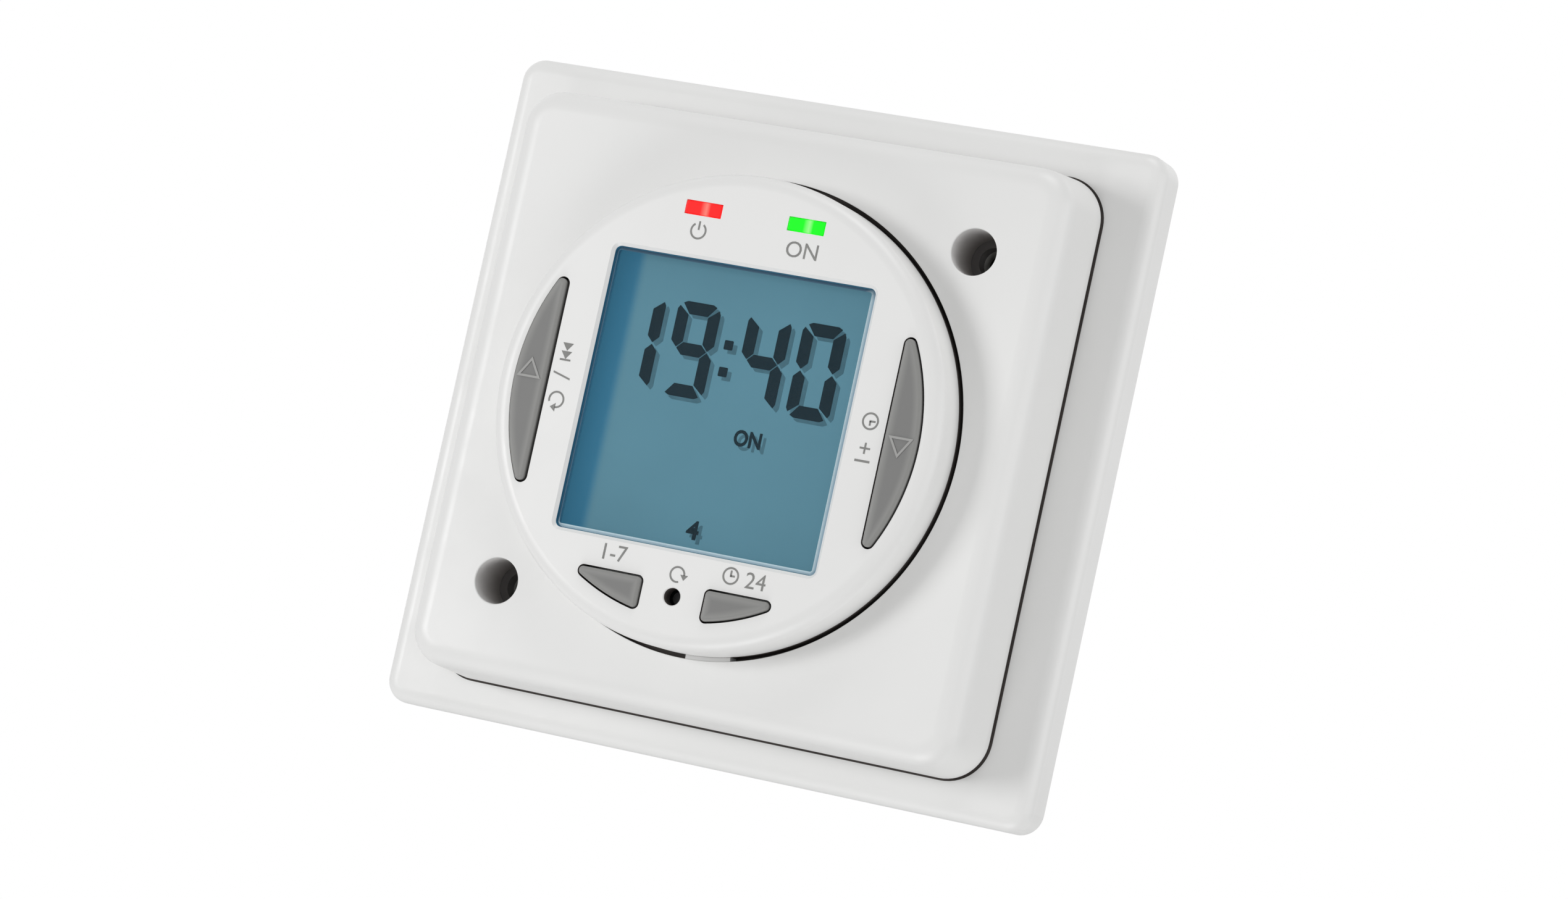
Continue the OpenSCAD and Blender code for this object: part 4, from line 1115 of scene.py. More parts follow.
class TIMER_OT_housing(bpy.types.Operator):
    """Make the stepped housing with its round opening, screw wells, posts and hooks."""
    bl_idname = "timer.housing"
    bl_label = "Front housing"

    def execute(self, context):
        s, f = settings("shell"), settings("fascia")
        rim, face = back_of("front_housing"), front_of("front_housing")
        under = face - s.housing_wall
        flange = front_of("wall_plate") + settings("case").flange_t
        inside = s.housing_side - 2 * (s.housing_wall + s.housing_draft)
        inner = lambda grow: rounded(inside + 2 * grow, inside + 2 * grow,
                                     s.housing_corner - s.housing_draft + grow, steps=14)
        form = Form()
        # The housing's foot, the floor round its rim and the wall of its round opening take the gap finish,
        # painted shade.
        foot, sill = form.rows(housing_outline, [(-s.foot, rim), (0, rim + s.foot)], 1)
        shoulder = [(grow - s.housing_draft, level) for grow, level in soft_section(s.housing_edge, face)]
        top = form.rows(housing_outline, shoulder, 0, sill)[1]
        inner_foot, inner_top = form.rows(inner, [(0, rim)] + soft_section(s.inner_edge, under))
        form.flat(foot, inner_foot, finish=1)
        edge, wall = form.rows(opening, mouth_section(f.opening_edge, face))
        low = form.loop(opening(0), under)
        form.band(wall, low, 1)
        face_holes, under_holes = [edge], [inner_top, low]
        for x, y in wells():
            self.well(form, s, x, y, face, under, flange, face_holes, under_holes)
        for x, y in posts():
            root, end = form.rows(lambda grow: circle(x, y, s.post_r + grow, 32), [(0, under), (0, flange)])
            bore, cap = form.rows(lambda grow: circle(x, y, s.pilot_r + grow, 24),
                                  [(0, flange), (0, under - s.pilot_cap)])
            form.flat(end, bore)
            form.flat(cap)
            under_holes.append(root)
        form.flat(top, *face_holes)
        form.flat(*under_holes)
        housing = form.piece("front_housing_shell", finish("white_plastic"), finish("gap"), finish("well"))
        hooks = Form()
        low = under - f.collar_t
        section = [(f.collar_r + f.fit, under + BITE), (f.collar_r + f.fit, low - f.fit),
                   (f.collar_r - f.hook_lip, low - f.fit), (f.collar_r - f.hook_lip, low - f.hook_t),
                   (f.collar_r + f.hook_t, low - f.hook_t), (f.collar_r + f.hook_t, under + BITE)]
        for i in range(4):
            hooks.sweep(section, i * math.pi / 2, f.hook_span)
        joined(housing, hooks, "UNION")
        pocket = Form().sector(f.opening_r - BITE, f.opening_r + f.lug_t, under - BITE,
                               face - f.lug_drop + BITE, f.lug_turn, f.lug_span, 1)
        joined(housing, pocket, "DIFFERENCE")
        place(resmooth(housing), "case", "white_plastic", "front_housing")
        return {"FINISHED"}

    def well(self, form, s, x, y, face, under, flange, face_holes, under_holes):
        floor = flange + s.well_floor
        hole = lambda r: lambda grow: circle(x, y, r + grow, 64)
        mouth, throat = form.rows(hole(s.well_r), mouth_section(s.well_edge, face))
        # The well's wall and floor take the well finish, painted shade that darkens with depth.
        bottom = form.rows(hole(s.well_r), [(0, floor)], 2, throat)[1]
        bore, back = form.rows(hole(s.screw_hole), [(0, floor), (0, flange)], 2)
        boss, root = form.rows(hole(s.well_r + s.boss_wall), [(0, flange), (0, under)])
        form.flat(bottom, bore, finish=2)
        form.flat(back, boss)
        face_holes.append(mouth)
        under_holes.append(root)


class TIMER_OT_fascia(bpy.types.Operator):
    """Make the round fascia with its openings, skirt, collar, lug, seats and clips."""
    bl_idname = "timer.fascia"
    bl_label = "Timer fascia"

    def execute(self, context):
        f, k = settings("fascia"), settings("keys")
        disc, back = front_of("timer_fascia"), back_of("timer_fascia")
        face = front_of("front_housing")
        under = face - settings("shell").housing_wall
        inside = disc - f.face_t
        ring = lambda grow: circle(0, 0, f.fascia_r + grow, ROUND_STEPS)
        collar = f.collar_r - f.fascia_r
        form = Form()
        # The fascia's side below the housing's face, its collar, skirt and underside take the gap finish,
        # painted shade.
        foot, sill = form.rows(ring, [(0, back), (0, under - f.collar_t), (collar, under - f.collar_t),
                                      (collar, under), (0, under), (0, face)], 1)
        rim = form.rows(ring, soft_section(f.edge, disc), 0, sill)[1]
        skirt = lambda grow: circle(0, 0, f.skirt_r + grow, ROUND_STEPS)
        skirt_foot, skirt_top = form.rows(skirt, [(0, back), (0, inside)], 1)
        form.flat(foot, skirt_foot, finish=1)
        tops, bottoms = [rim], [skirt_top]
        for outline, section, walls in self.openings(f, k, disc):
            top, wall = form.rows(outline, section)
            bottom = form.loop(outline(0), inside)
            form.band(wall, bottom, walls)
            tops.append(top)
            bottoms.append(bottom)
        form.flat(*tops)
        form.flat(*bottoms, finish=1)
        fascia = form.piece("timer_fascia_shell", finish("white_plastic"), finish("gap"),
                            finish("holder_plastic"))
        holders = Form()
        board, board_back = front_of("display_board"), back_of("display_board")
        for turn in (f.seat_turn, math.pi - f.seat_turn, math.pi + f.seat_turn, -f.seat_turn):
            for reach, low, high, span in ((f.seat_in, board, inside + BITE, f.seat_span),
                                           (f.clip_lip, back, board_back - f.fit, f.clip_span)):
                holders.sector(f.skirt_r - reach, f.skirt_r + BITE, low, high, turn, span)
        holders.sector(f.fascia_r - BITE, f.fascia_r + f.lug_t, under - f.fit, face - f.lug_drop, f.lug_turn,
                       f.lug_span - 2 * f.lug_play)
        joined(fascia, holders, "UNION")
        place(resmooth(fascia), "case", "white_plastic", "timer_fascia")
        return {"FINISHED"}

    def openings(self, f, k, disc):
        """Outline, section of the mouth and finish of the walls of every opening in the face."""
        # The window's walls take the display frame's painted shade, the walls of the keys and the reset hole
        # the gap's painted shade.
        found = [(window, [(f.window_bevel, disc), (0, disc - f.window_bevel)], 2)]
        for points, shift in ((arc_key, k.arc_shift), (wedge_key, 0.0)):
            found.append((lambda grow, points=points: points(grow + k.clear), [(0, disc)], 1))
            found.append((lambda grow, points=points, shift=shift: [
                (x + shift, y) for x, y in mirrored(points(grow + k.clear))], [(0, disc)], 1))
        for x in (-k.pipe_x, k.pipe_x):
            light = lambda grow, x=x: rounded(k.pipe_w + 2 * grow, k.pipe_h + 2 * grow, k.pipe_hole_corner,
                                              x, k.pipe_y, 2)
            found.append((light, [(0, disc)], 0))
        found.append((lambda grow: circle(0, -f.reset_y, f.reset_r + grow, 40),
                      [(f.reset_soft, disc), (0, disc - f.reset_soft)], 1))
        return found


class TIMER_OT_display(bpy.types.Operator):
    """Make the clear window, the display panel, its digits and a painted film for the shadow that they cast.
    """
    bl_idname = "timer.display"
    bl_label = "Display"

    # Sideways places of the digits in millimetres, with the bars that are dark
    DIGITS = ((-13.5, "bc"), (-5.95, "abcdfg"), (3.75, "bcfg"), (11.15, "abcdef"))
    # Places of the colon's dots in millimetres
    DOTS = ((-1.1, 8.6), (-1.1, 5.2))
    # Small texts: place, height and width in millimetres
    TEXTS = (("ON", 4.1, -2.5, 2.1, 3.7), ("4", -0.5, -14.8, 2.4, 1.7))

    def execute(self, context):
        d = settings("display")
        self.lens(d, settings("fascia"))
        self.panel(d)
        level = front_of("lcd_glass")
        for name, across, up, low, made in (("lcd_shadows", d.shadow_x, -d.shadow_y, level, "shadow"),
                                            ("lcd_digits", 0, 0, level + d.film, "digit")):
            form = Form()
            for points in self.shapes(d):
                form.prism([(x + across, y + up) for x, y in points], low, low + d.film)
            for text, x, y, height, width in self.TEXTS:
                letters(form, text, x * MM + across, y * MM + up, height * MM, low, d.film, width * MM,
                        bold=d.text_bold)
            place(form.piece(name, finish(made)), "case", "display_glass")
        return {"FINISHED"}

    def lens(self, d, f):
        back, front = back_of("display_lens"), front_of("display_lens") + d.lens_rise
        step = back + d.lens_flange_t
        form = Form()
        foot, neck = form.rows(window, [(d.lens_flange, back), (d.lens_flange, step), (-f.fit, step),
                                        (-f.fit, front - d.lens_bevel)])
        top = form.rows(window, [(-f.fit - d.lens_bevel, front)], 1, neck)[1]
        form.flat(foot)
        form.flat(top)
        place(form.piece("display_window", finish("clear_lens"), finish("lens_rim_painted_light")), "case", "clear_lens",
              "display_lens")

    def panel(self, d):
        low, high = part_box("lcd_glass")
        w, h = high.x - low.x, high.z - low.z
        outline = lambda grow: rounded(w + 2 * grow, h + 2 * grow, d.panel_corner + grow, 0,
                                       (low.z + high.z) / 2, 3)
        cut = d.panel_bevel
        form = Form().solid(outline, [(-cut, -high.y), (0, cut - high.y), (0, -low.y - cut), (-cut, -low.y)])
        place(form.piece("lcd_panel", finish("display_glass")), "case", "display_glass", "lcd_glass")

    def shapes(self, d):
        """Outlines of the dark bars of the time and of its colon."""
        found = []
        for x, bars in self.DIGITS:
            found += [self.bar(d, bar, x * MM) for bar in bars]
        for x, y in self.DOTS:
            found.append(rounded(d.dot, d.dot, d.dot / 10, x * MM, y * MM, 2))
        return found

    def bar(self, d, bar, x):
        """One bar of a seven-bar digit: a top, g middle, d bottom, f e left and b c right."""
        w, h, s, g, c = d.digit_w / 2, d.digit_h / 2, d.bar, d.bar_gap / 2, d.digit_round
        flat = [(c / 2 + g - w, h - c / 4), (c + g - w, h), (w - c - g, h), (w - c / 2 - g, h - c / 4),
                (w - s - g, h - s), (s + g - w, h - s)]
        middle = [(s / 2 + g - w, 0), (s + g - w, s / 2), (w - s - g, s / 2), (w - s / 2 - g, 0),
                  (w - s - g, -s / 2), (s + g - w, -s / 2)]
        upright = [(w, h - c), (w - c / 4, h - c / 2 - g), (w - s, h - s - g), (w - s, s / 2 + g),
                   (w - s / 2, g), (w, s / 2 + g)]
        points = {"a": flat, "d": flat, "g": middle}.get(bar, upright)
        side = -1 if bar in "fe" else 1
        up = -1 if bar in "dec" else 1
        return [(x + side * px, d.digit_y + up * py) for px, py in points]


def letters(form, text, x, y, height, low, thickness, width=None, turn=0.0, bold=0.0):
    """Add a short text to a form as thin solids, centred on a point and fitted to its height and width."""
    curve = bpy.data.curves.new("text", "FONT")
    curve.body = text
    curve.offset = bold
    curve.resolution_u = 4
    item = new_object("text", curve)
    mesh = plain_mesh(item)
    bpy.data.objects.remove(item)
    bpy.data.curves.remove(curve)
    corners = [vertex.co for vertex in mesh.vertices]
    low_x, high_x = min(c.x for c in corners), max(c.x for c in corners)
    low_y, high_y = min(c.y for c in corners), max(c.y for c in corners)
    up = height / (high_y - low_y)
    across = width / (high_x - low_x) if width else up
    middle = Vector(((low_x + high_x) / 2, (low_y + high_y) / 2))
    cos, sin = math.cos(turn), math.sin(turn)
    glyphs = bmesh.new()
    glyphs.from_mesh(mesh)
    bpy.data.meshes.remove(mesh)
    bmesh.ops.remove_doubles(glyphs, verts=glyphs.verts[:], dist=1e-6)
    for vertex in glyphs.verts:
        px, py = (vertex.co.x - middle.x) * across, (vertex.co.y - middle.y) * up
        vertex.co = ((x + px * cos - py * sin) * FINE, -low * FINE, (y + px * sin + py * cos) * FINE)
    raised = bmesh.ops.extrude_face_region(glyphs, geom=glyphs.faces[:], use_keep_orig=True)
    for vertex in raised["geom"]:
        if isinstance(vertex, bmesh.types.BMVert):
            vertex.co.y -= thickness * FINE
    part = bpy.data.meshes.new("part")
    glyphs.to_mesh(part)
    glyphs.free()
    form.mesh.from_mesh(part)
    bpy.data.meshes.remove(part)


class TIMER_OT_keys(bpy.types.Operator):
    """Make the two arc keys with their raised arrows and the two wedge keys."""
    bl_idname = "timer.keys"
    bl_label = "Keys"

    def execute(self, context):
        k = settings("keys")
        arc_at = ((k.arc_x + k.arc_r) / 2, 0.0)
        wedge_at = (k.wedge_x + k.wedge_post_in, -k.wedge_y - k.wedge_post_down)
        x, y, half = k.arrow_x, k.arrow_y, k.arrow_w / 2
        down = [(x - half, y), (x + half, y), (x, y - k.arrow_h)]
        up = [(x, k.arrow_lift - y) for x, y in down]
        for node, body, outline, at, post, mark, left in (
                ("advance_key", "advance_button", arc_key, arc_at, k.arc_post, up, True),
                ("boost_key", "boost_button", arc_key, arc_at, k.arc_post, down, False),
                ("program_key", "program_button", wedge_key, wedge_at, k.wedge_post, None, True),
                ("time_key", "time_button", wedge_key, wedge_at, k.wedge_post, None, False)):
            self.key(k, node, body, outline, at, post, mark, left)
        return {"FINISHED"}

    def key(self, k, node, body, outline, at, post, mark, left):
        front, back = front_of(node), back_of(node)
        stop = front_of("timer_fascia") - settings("fascia").face_t - k.flange_gap
        turned = mirrored if left else list
        shape = lambda grow: turned(outline(grow))
        form = Form()
        foot, shoulder = form.rows(shape, [(k.flange, stop - k.flange_t), (k.flange, stop), (0, stop),
                                           (0, front - k.soft)])
        top = form.rows(shape, soft_section(k.soft, front)[1:], 0, shoulder)[1]
        root, end = form.rows(lambda grow: turned(circle(*at, post + grow, 32)),
                              [(0, stop - k.flange_t), (0, back)])
        form.flat(foot, root)
        form.flat(end)
        form.flat(top)
        # The raised arrow takes the key mark finish, a painted highlight.
        if mark:
            form.frame(turned(mark), turned(inset(mark, k.arrow_line)), front - k.arrow_rise,
                       front + k.arrow_rise, 1)
        made = "key_rubber" if mark else "wedge_rubber"
        place(form.piece(node + "_cap", finish(made), finish("key_mark")), body, "key_rubber", node)


def inset(points, distance):
    """A triangle moved in by a distance on all sides."""
    sides = [math.dist(points[(i + 1) % 3], points[(i + 2) % 3]) for i in range(3)]
    first, second, third = (Vector(point) for point in points)
    area = abs((second - first).cross(third - first)) / 2
    middle = (first * sides[0] + second * sides[1] + third * sides[2]) / sum(sides)
    share = 1 - distance * sum(sides) / (2 * area)
    return [tuple(middle + (Vector(point) - middle) * share) for point in points]


class TIMER_OT_domes(bpy.types.Operator):
    """Make the soft domes under the keys, from the nodes that the record lets flatten as their keys go in.
    """
    bl_idname = "timer.domes"
    bl_label = "Key domes"

    def execute(self, context):
        for joint in frame["record"]["behaviour"]["joints"]:
            for soft in joint.get("deforming_nodes", ()):
                node = soft["node"]
                item = resmooth(new_object(node + "_soft", frame["nodes"][node].data.copy()))
                place(item, "case", "mat_rubber", node)
                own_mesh(item)
        return {"FINISHED"}


class TIMER_OT_lights(bpy.types.Operator):
    """Make the red and the green light pipe."""
    bl_idname = "timer.lights"
    bl_label = "Indicator lights"

    def execute(self, context):
        k, f = settings("keys"), settings("fascia")
        inside = front_of("timer_fascia") - f.face_t - f.fit
        for node, side, made in (("power_light_pipe", -1, "red_pipe"), ("on_light_pipe", 1, "green_pipe")):
            back, front = back_of(node), front_of(node)
            x, y = side * k.pipe_x, k.pipe_y
            w, h = k.pipe_w - 2 * f.fit, k.pipe_h - 2 * f.fit
            wide, tall = k.pipe_w + 2 * k.pipe_flange, k.pipe_h + 2 * k.pipe_flange
            pipe = lambda grow: rounded(w + 2 * grow, h + 2 * grow, k.pipe_corner + grow, x, y, 4)
            flange = lambda grow: rounded(wide, tall, k.pipe_flange_corner, x, y - k.pipe_flange, 4)
            form = Form()
            foot, neck = form.rows(pipe, [(0, back), (0, inside - k.pipe_flange_t)])
            ledge, step = form.rows(flange, [(0, inside - k.pipe_flange_t), (0, inside)])
            collar, top = form.rows(pipe, [(0, inside)] + soft_section(k.pipe_dome, front))
            form.flat(foot)
            form.flat(neck, ledge)
            form.flat(step, collar)
            form.flat(top)
            place(form.piece(node + "_lit", finish(made)), "case", made, node)
        return {"FINISHED"}


class TIMER_OT_print(bpy.types.Operator):
    """Print plain symbols and numbers beside the keys and the lights."""
    bl_idname = "timer.print"
    bl_label = "Face print"

    # Mark, place and height in millimetres, turn in degrees
    MARKS = (
        ("power", -7.1, 21.7, 2.2, 0),
        ("ON", 7.1, 21.4, 2.0, 0),
        ("skip", -21.1, 4.0, 2.1, -90),
        ("/", -21.1, 0.9, 2.4, -90),
        ("loop", -21.1, -2.2, 2.2, -90),
        ("clock", 20.75, 2.2, 2.2, -90),
        ("+1", 20.75, -1.7, 2.0, -90),
        ("1-7", -8.7, -19.6, 2.0, 0),
        ("loop", 0.1, -20.7, 2.1, 0),
        ("clock", 7.1, -19.6, 2.2, 0),
        ("24", 10.5, -19.7, 2.0, 0),
    )

    def execute(self, context):
        low = front_of("timer_fascia")
        high = low + settings("display").film
        form = Form()
        for mark, x, y, height, turn in self.MARKS:
            turn = math.radians(turn)
            shapes = self.symbol(mark, height * MM / 2, settings("display").mark_line)
            if not shapes:
                letters(form, mark, x * MM, y * MM, height * MM, low, high - low, turn=turn)
            cos, sin = math.cos(turn), math.sin(turn)
            for points in shapes:
                turned = [(px * cos - py * sin, px * sin + py * cos) for px, py in points]
                form.prism([(x * MM + px, y * MM + py) for px, py in turned], low, high)
        place(form.piece("face_print", finish("print")), "case", "grey_plastic")
        return {"FINISHED"}

    def symbol(self, mark, r, line):
        """Outlines of a drawn symbol about its own middle, or nothing for a text."""
        if mark == "power":
            return [self.bow(r, line, 125, 415), self.stroke((0, 0.1 * r), (0, 1.1 * r), line)]
        if mark == "clock":
            rings = [self.bow(r, line, 0, 180), self.bow(r, line, 180, 360)]
            return rings + [self.stroke((0, -line / 2), (0, 0.62 * r), line),
                            self.stroke((0, 0), (0.5 * r, 0), line)]
        if mark == "loop":
            tip = r - line / 2
            head = [(tip - 0.5 * r, 0.05 * r), (tip + 0.5 * r, 0.05 * r), (tip, -0.6 * r)]
            return [self.bow(r, line, 0, 290), head]
        if mark == "skip":
            half = 0.7 * r
            heads = [[(start * r, -half), ((start + 0.95) * r, 0), (start * r, half)] for start in (-1, 0)]
            return heads + [self.stroke((1.05 * r, -half), (1.05 * r, half), line)]
        return []

    def bow(self, r, line, start, end):
        start, end = math.radians(start), math.radians(end)
        return arc(0, 0, r, start, end, 32) + arc(0, 0, r - line, end, start, 32)

    def stroke(self, start, end, line):
        along = Vector(end) - Vector(start)
        side = Vector((-along.y, along.x)).normalized() * line / 2
        return [tuple(point) for point in (Vector(start) + side, Vector(start) - side, Vector(end) - side,
                                           Vector(end) + side)]


class TIMER_OT_case(bpy.types.Operator):
    """Make the rear case with its step over the terminals, and the terminal block."""
    bl_idname = "timer.case"
    bl_label = "Rear case"

    def execute(self, context):
        self.rear_case(settings("case"), settings("shell"))
        self.terminal_block(settings("case"))
        return {"FINISHED"}

    def rear_case(self, c, s):
        plate = front_of("wall_plate")
        flange = plate + c.flange_t
        deep, shelf, power = back_of("rear_case"), front_of("terminal_block"), back_of("power_board")
        wall, top = c.case_wall, c.case_h / 2
        beyond = flange + wall
        tall = top + c.shelf_y
        upper = lambda grow: rounded(c.case_w + 2 * grow, tall + 2 * grow, c.case_corner + grow, 0,
                                     top - tall / 2)
        # The lower part is a hair narrower, so that no two sides lie in one plane
        lower = lambda grow: rounded(c.case_w + 2 * grow - 0.4 * BITE, c.case_h + 2 * grow - wall,
                                     c.case_corner + grow, 0, -wall / 2)
        side = size_of("rear_case")[0] * MM
        form = Form().prism(rounded(side, side, s.housing_corner - s.housing_draft), plate, flange)
        case = form.piece("rear_case_shell", finish("grey_plastic"))
        for outline, level in ((upper, deep), (lower, shelf)):
            section = [(0, plate + BITE)] + soft_section(c.case_edge, level, -1)
            joined(case, Form().solid(outline, section), "UNION")
        inner = rounded(c.case_w - 2 * wall, c.case_h - 2 * wall, c.case_corner - wall / 2)
        joined(case, Form().solid(upper, [(-wall, deep + wall), (-wall, beyond)]), "DIFFERENCE")
        joined(case, Form().prism(inner, shelf + wall, beyond), "DIFFERENCE")
        stands, holes = Form(), Form()
        for x, y in pillars():
            stands.prism(circle(x, y, c.pillar_r, 32), deep + wall / 2, power)
            holes.prism(circle(x, y, c.pillar_r / 3, 24), power - 4 * c.rib_w, power + wall)
        board_w, board_h = (size * MM for size in size_of("power_board"))
        for turn in (-1, 1):
            stands.box(turn * board_w / 4, -(c.shelf_y + board_h / 2) / 2, c.rib_w,
                       board_h / 2 - c.shelf_y - c.rib_w / 2, shelf + wall / 2, power)
        for x, y in wells():
            holes.prism(circle(x, y, s.screw_hole, 32), plate - wall, beyond)
        half = s.post_r / 2
        countersink = [(s.post_r + BITE, plate - BITE), (half, plate + half), (half, beyond)]
        for x, y in posts():
            holes.solid(lambda r: circle(x, y, r, 32), countersink)
        low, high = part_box("terminal_clamps")
        for x in terminals():
            holes.box(x, (low.z + high.z) / 2, c.tail_w, c.tail_h, shelf - wall, shelf + 2 * wall)
        joined(case, stands, "UNION")
        joined(case, holes, "DIFFERENCE")
        place(resmooth(case), "case", "grey_plastic", "rear_case")

    def terminal_block(self, c):
        low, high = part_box("terminal_block")
        w, h, y = high.x - low.x, high.z - low.z, (low.z + high.z) / 2
        back, front = back_of("terminal_block"), front_of("terminal_block")
        clamp = back_of("terminal_clamps") - BITE
        outline = lambda grow: rounded(w + 2 * grow, h + 2 * grow, 2 * c.block_edge + grow, 0, y, 4)
        form = Form().solid(outline, [(0, front)] + soft_section(c.block_edge, back, -1))
        block = form.piece("terminal_block_body", finish("grey_plastic"))
        pockets, screw_holes, wire_holes, grooves = Form(), Form(), Form(), Form()
        for x in terminals():
            pockets.box(x, y, c.cage_w, c.cage_d, clamp, front + c.case_wall)
            screw_holes.prism(circle(x, y, c.head_hole, 40), back - c.case_wall, clamp + BITE)
            wire_holes.drill(x, -c.wire_back, [(c.wire_r + c.funnel + BITE, low.z - BITE),
                                               (c.wire_r, low.z + c.funnel), (c.wire_r, y)])
        for i in (-1, 0, 1):
            grooves.box(i * c.pitch, y, 2 * c.groove, 2 * h, back - c.groove, back + c.groove)
        for tool in (pockets, screw_holes, wire_holes, grooves):
            joined(block, tool, "DIFFERENCE")
        place(resmooth(block), "case", "grey_plastic", "terminal_block")


class Pattern(Nodes):
    """A geometry node tree in the making that puts one solid on every point that it gets.
    The solid's top lies in its own level z = 0, and its stem points down."""

    def __init__(self, name, *sizes):
        self.tree = bpy.data.node_groups.new(name, "GeometryNodeTree")
        super().__init__(self.tree, "GeometryNode")
        sockets = self.tree.interface
        sockets.new_socket("Geometry", in_out="OUTPUT", socket_type="NodeSocketGeometry")
        sockets.new_socket("Points", in_out="INPUT", socket_type="NodeSocketGeometry")
        for size in (*sizes, "Turn"):
            sockets.new_socket(size, in_out="INPUT", socket_type="NodeSocketFloat")
        sockets.new_socket("Finish", in_out="INPUT", socket_type="NodeSocketMaterial")
        self.given = self.nodes.new("NodeGroupInput").outputs

    def moved(self, shape, z):
        made = self.node("Transform", {"Geometry": shape, "Translation": self.point(z=z)})
        return made.outputs["Geometry"]

    def cone(self, top_r, foot_r, height, top, steps=32):
        """A cone or a rod of a height that hangs from a level."""
        made = self.node("MeshCone", {"Vertices": steps, "Radius Top": top_r, "Radius Bottom": foot_r,
                                      "Depth": height})
        return self.moved(made.outputs["Mesh"], self.maths("SUBTRACT", top, height))

    def block(self, w, h, depth):
        """A block about the middle of the top."""
        size = self.point(w, h, self.maths("MULTIPLY", depth, 2.0))
        return self.node("MeshCube", {"Size": size}).outputs["Mesh"]

    def boolean(self, operation, inputs):
        return self.node("MeshBoolean", inputs, operation=operation, solver="EXACT").outputs["Mesh"]

    def union(self, *shapes):
        return self.boolean("UNION", {"Mesh 2": list(shapes)})

    def cut(self, shape, *tools):
        return self.boolean("DIFFERENCE", {"Mesh 1": shape, "Mesh 2": list(tools)})

    def thread(self, r, ridge, pitch, height, foot):
        """A spiral ridge up a rod, from a foot level."""
        turns = self.maths("DIVIDE", height, pitch)
        path = self.node("CurveSpiral", {"Resolution": 20, "Rotations": turns, "Start Radius": r,
                                         "End Radius": r, "Height": height})
        profile = self.node("CurvePrimitiveCircle", {"Resolution": 6, "Radius": ridge})
        made = self.node("CurveToMesh", {"Curve": path.outputs["Curve"], "Fill Caps": True,
                                         "Profile Curve": profile.outputs["Curve"]})
        return self.moved(made.outputs["Mesh"], foot)

    def close(self, *shapes):
        """Put the shapes on every point, turned about the sideways axis, and give them their finish."""
        whole = self.node("JoinGeometry", {"Geometry": list(shapes)}).outputs["Geometry"]
        spread = self.node("InstanceOnPoints", {"Points": self.given["Points"], "Instance": whole,
                                                "Rotation": self.point(x=self.given["Turn"])})
        plain = self.node("RealizeInstances", {"Geometry": spread.outputs["Instances"]})
        done = self.node("SetMaterial", {"Geometry": plain.outputs["Geometry"],
                                         "Material": self.given["Finish"]})
        self.links.new(done.outputs["Geometry"], self.nodes.new("NodeGroupOutput").inputs["Geometry"])
        return self.tree


def screw_pattern():
    """A screw with a slot or a cross in its head and a thread on its shank."""
    p = Pattern("screw", "Head radius", "Head foot radius", "Head height", "Shank radius", "Shank length",
                "Thread pitch", "Slot length", "Cross length", "Slot width", "Slot depth")
    size = p.given
    head_foot = p.maths("MULTIPLY", size["Head height"], -1.0)
    overlap = p.maths("MULTIPLY", size["Head height"], 0.25)
    core = p.maths("MULTIPLY", size["Shank radius"], THREAD_CORE)
    ridge = p.maths("MULTIPLY", size["Shank radius"], 1 - THREAD_CORE)
    head = p.cone(size["Head radius"], size["Head foot radius"], size["Head height"], 0.0)
    shank_length = p.maths("ADD", size["Shank length"], overlap)
    shank = p.cone(core, core, shank_length, p.maths("ADD", head_foot, overlap))
    slot = p.block(size["Slot length"], size["Slot width"], size["Slot depth"])
    cross = p.block(size["Slot width"], size["Cross length"], size["Slot depth"])
    thread_length = p.maths("MULTIPLY", size["Shank length"], 0.92)
    thread_foot = p.maths("SUBTRACT", head_foot, p.maths("MULTIPLY", size["Shank length"], 0.96))
    return p.close(p.cut(p.union(head, shank), slot, cross),
                   p.thread(core, ridge, size["Thread pitch"], thread_length, thread_foot))


def insert_pattern():
    """A knurled insert with a threaded bore."""
    p = Pattern("threaded insert", "Radius", "Bore radius", "Height", "Thread pitch", "Knurl")
    size = p.given
    odd = p.maths("MODULO", p.node("InputIndex").outputs["Index"], 2.0)
    pull = p.maths("MULTIPLY", odd, p.maths("MULTIPLY", size["Knurl"], -1.0))
    inwards = p.node("ShaderNodeVectorMath", {0: p.node("InputPosition").outputs["Position"],
                                              1: p.point(pull, pull)}, operation="MULTIPLY")
    rod = p.cone(size["Radius"], size["Radius"], size["Height"], 0.0, 48)
    body = p.node("SetPosition", {"Geometry": rod, "Offset": inwards.outputs["Vector"]})
    longer = p.maths("MULTIPLY", size["Height"], 1.2)
    lift = p.maths("MULTIPLY", size["Height"], 0.1)
    bore = p.cone(size["Bore radius"], size["Bore radius"], longer, lift)
    inside = p.maths("MULTIPLY", size["Height"], 0.9)
    foot = p.maths("MULTIPLY", size["Height"], -0.95)
    ridge = p.maths("MULTIPLY", size["Bore radius"], 0.08)
    return p.close(p.cut(body.outputs["Geometry"], bore),
                   p.thread(size["Bore radius"], ridge, size["Thread pitch"], inside, foot))


def grown(name, tree, points, level, sizes):
    """One piece of solids that a geometry node tree puts at places in a level."""
    mesh = bpy.data.meshes.new(name)
    mesh.from_pydata([(x, -level, y) for x, y in points], [], [])
    item = new_object(name, mesh)
    modifier = item.modifiers.new("Pattern", "NODES")
    modifier.node_group = tree
    for socket in tree.interface.items_tree:
        if socket.in_out == "INPUT" and socket.name in sizes:
            modifier[socket.identifier] = sizes[socket.name]
    settle(item)
    return resmooth(item)


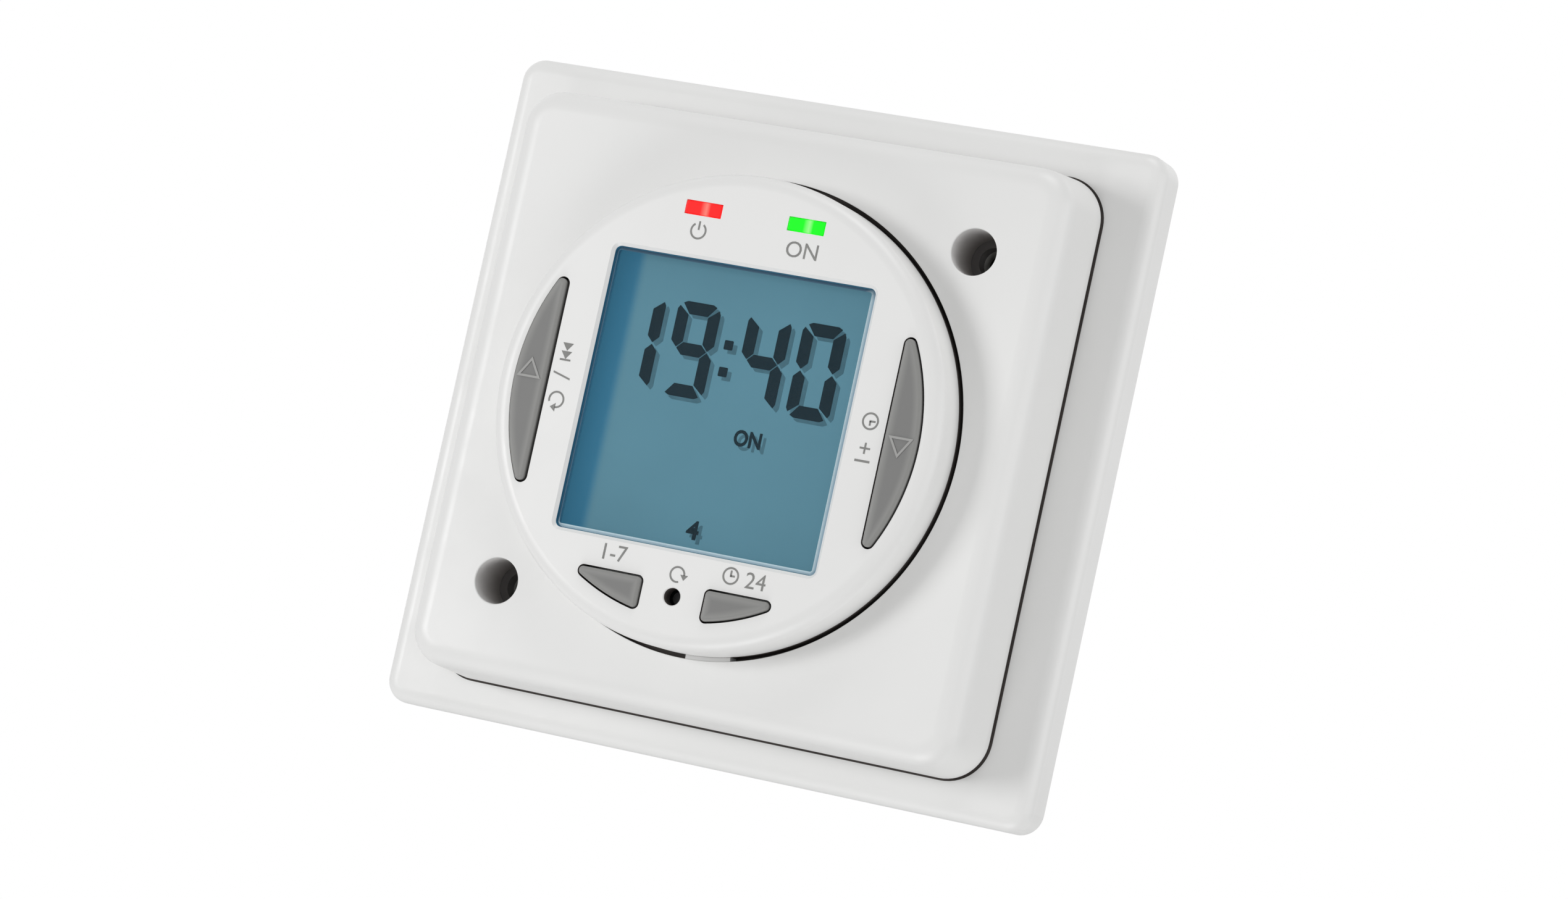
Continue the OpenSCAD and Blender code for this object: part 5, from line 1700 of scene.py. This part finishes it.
class TIMER_OT_screws(bpy.types.Operator):
    """Make the terminal, case and board screws and the plate's threaded inserts."""
    bl_idname = "timer.screws"
    bl_label = "Screws"

    def execute(self, context):
        c, s, f = settings("case"), settings("shell"), settings("fascia")
        quarter = math.pi / 2
        screw, insert = screw_pattern(), insert_pattern()
        low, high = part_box("terminal_screws")
        row = [(x, (low.z + high.z) / 2) for x in terminals()]
        common = {"Thread pitch": c.thread, "Slot width": c.slot, "Slot depth": c.slot_depth,
                  "Finish": finish("steel")}
        head = (high.z - low.z) / 2
        self.screws("terminal_screws", screw, row, back_of("terminal_screws"), common, {
            "Head radius": head, "Head foot radius": head, "Head height": c.clamp_head,
            "Shank radius": c.clamp_shank, "Shank length": high.y - low.y - c.clamp_head,
            "Slot length": 3 * head, "Cross length": c.slot / 2, "Turn": -quarter})
        low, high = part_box("case_screws")
        head = s.post_r - f.fit
        self.screws("case_screws", screw, posts(), back_of("case_screws"), common, {
            "Head radius": head, "Head foot radius": s.pilot_r, "Head height": s.post_r / 2,
            "Shank radius": s.pilot_r - f.fit, "Shank length": high.y - low.y - s.post_r / 2,
            "Slot length": CROSS_SLOT * head, "Cross length": CROSS_SLOT * head, "Turn": -quarter})
        low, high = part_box("board_screws")
        head = (high.z - low.z) / 2
        head_t = front_of("board_screws") - front_of("power_board")
        self.screws("board_screws", screw, pillars(), front_of("board_screws"), common, {
            "Head radius": head, "Head foot radius": head, "Head height": head_t,
            "Shank radius": c.pillar_r / 3, "Shank length": high.y - low.y - head_t,
            "Slot length": CROSS_SLOT * head, "Cross length": CROSS_SLOT * head, "Turn": quarter})
        height = front_of("plate_inserts") - back_of("plate_inserts")
        # The inserts take a nearly black brass, painted shade at the bottom of the wells.
        piece = grown("plate_inserts_knurled", insert, wells(), front_of("plate_inserts"), {
            "Radius": c.insert_r, "Bore radius": c.insert_bore, "Height": height, "Thread pitch": c.thread,
            "Knurl": c.knurl, "Turn": quarter, "Finish": finish("dull_brass")})
        place(piece, "case", "brass", "plate_inserts")
        return {"FINISHED"}

    def screws(self, node, tree, points, level, common, sizes):
        piece = grown(node + "_cut", tree, points, level, {**common, **sizes})
        place(piece, "case", "steel", node)


class TIMER_OT_inside(bpy.types.Operator):
    """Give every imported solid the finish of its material."""
    bl_idname = "timer.inside"
    bl_label = "Inner pieces"

    def execute(self, context):
        for row in frame["record"]["subparts"]:
            item = frame["nodes"][row["node"]]
            # The display holder takes the painted shade of the window's walls.
            slot = "holder_plastic" if row["node"] == "lcd_holder" else row["material_slot"]
            item.data.materials.clear()
            item.data.materials.append(finish(slot))
        return {"FINISHED"}


class TIMER_PT_panel(bpy.types.Panel):
    """Steps that make the wall timer's looks, in order."""
    bl_label = "Wall Timer"
    bl_idname = "TIMER_PT_panel"
    bl_space_type = "VIEW_3D"
    bl_region_type = "UI"
    bl_category = "Wall Timer"

    def draw(self, context):
        for step in STEPS:
            self.layout.operator(step.bl_idname)


STEPS = (TIMER_OT_stage, TIMER_OT_inside, TIMER_OT_plate, TIMER_OT_housing, TIMER_OT_fascia,
         TIMER_OT_display, TIMER_OT_keys, TIMER_OT_domes, TIMER_OT_lights, TIMER_OT_print, TIMER_OT_case,
         TIMER_OT_screws)


def register():
    for name, group in GROUPS.items():
        bpy.utils.register_class(group)
        setattr(bpy.types.Scene, name, bpy.props.PointerProperty(type=group))
    for made in (*STEPS, TIMER_PT_panel):
        bpy.utils.register_class(made)


def unregister():
    for made in reversed((*STEPS, TIMER_PT_panel)):
        bpy.utils.unregister_class(made)
    for name, group in reversed(GROUPS.items()):
        delattr(bpy.types.Scene, name)
        bpy.utils.unregister_class(group)


def main():
    register()
    for step in STEPS:
        group, name = step.bl_idname.split(".")
        getattr(getattr(bpy.ops, group), name)()


if __name__ == "__main__":
    main()
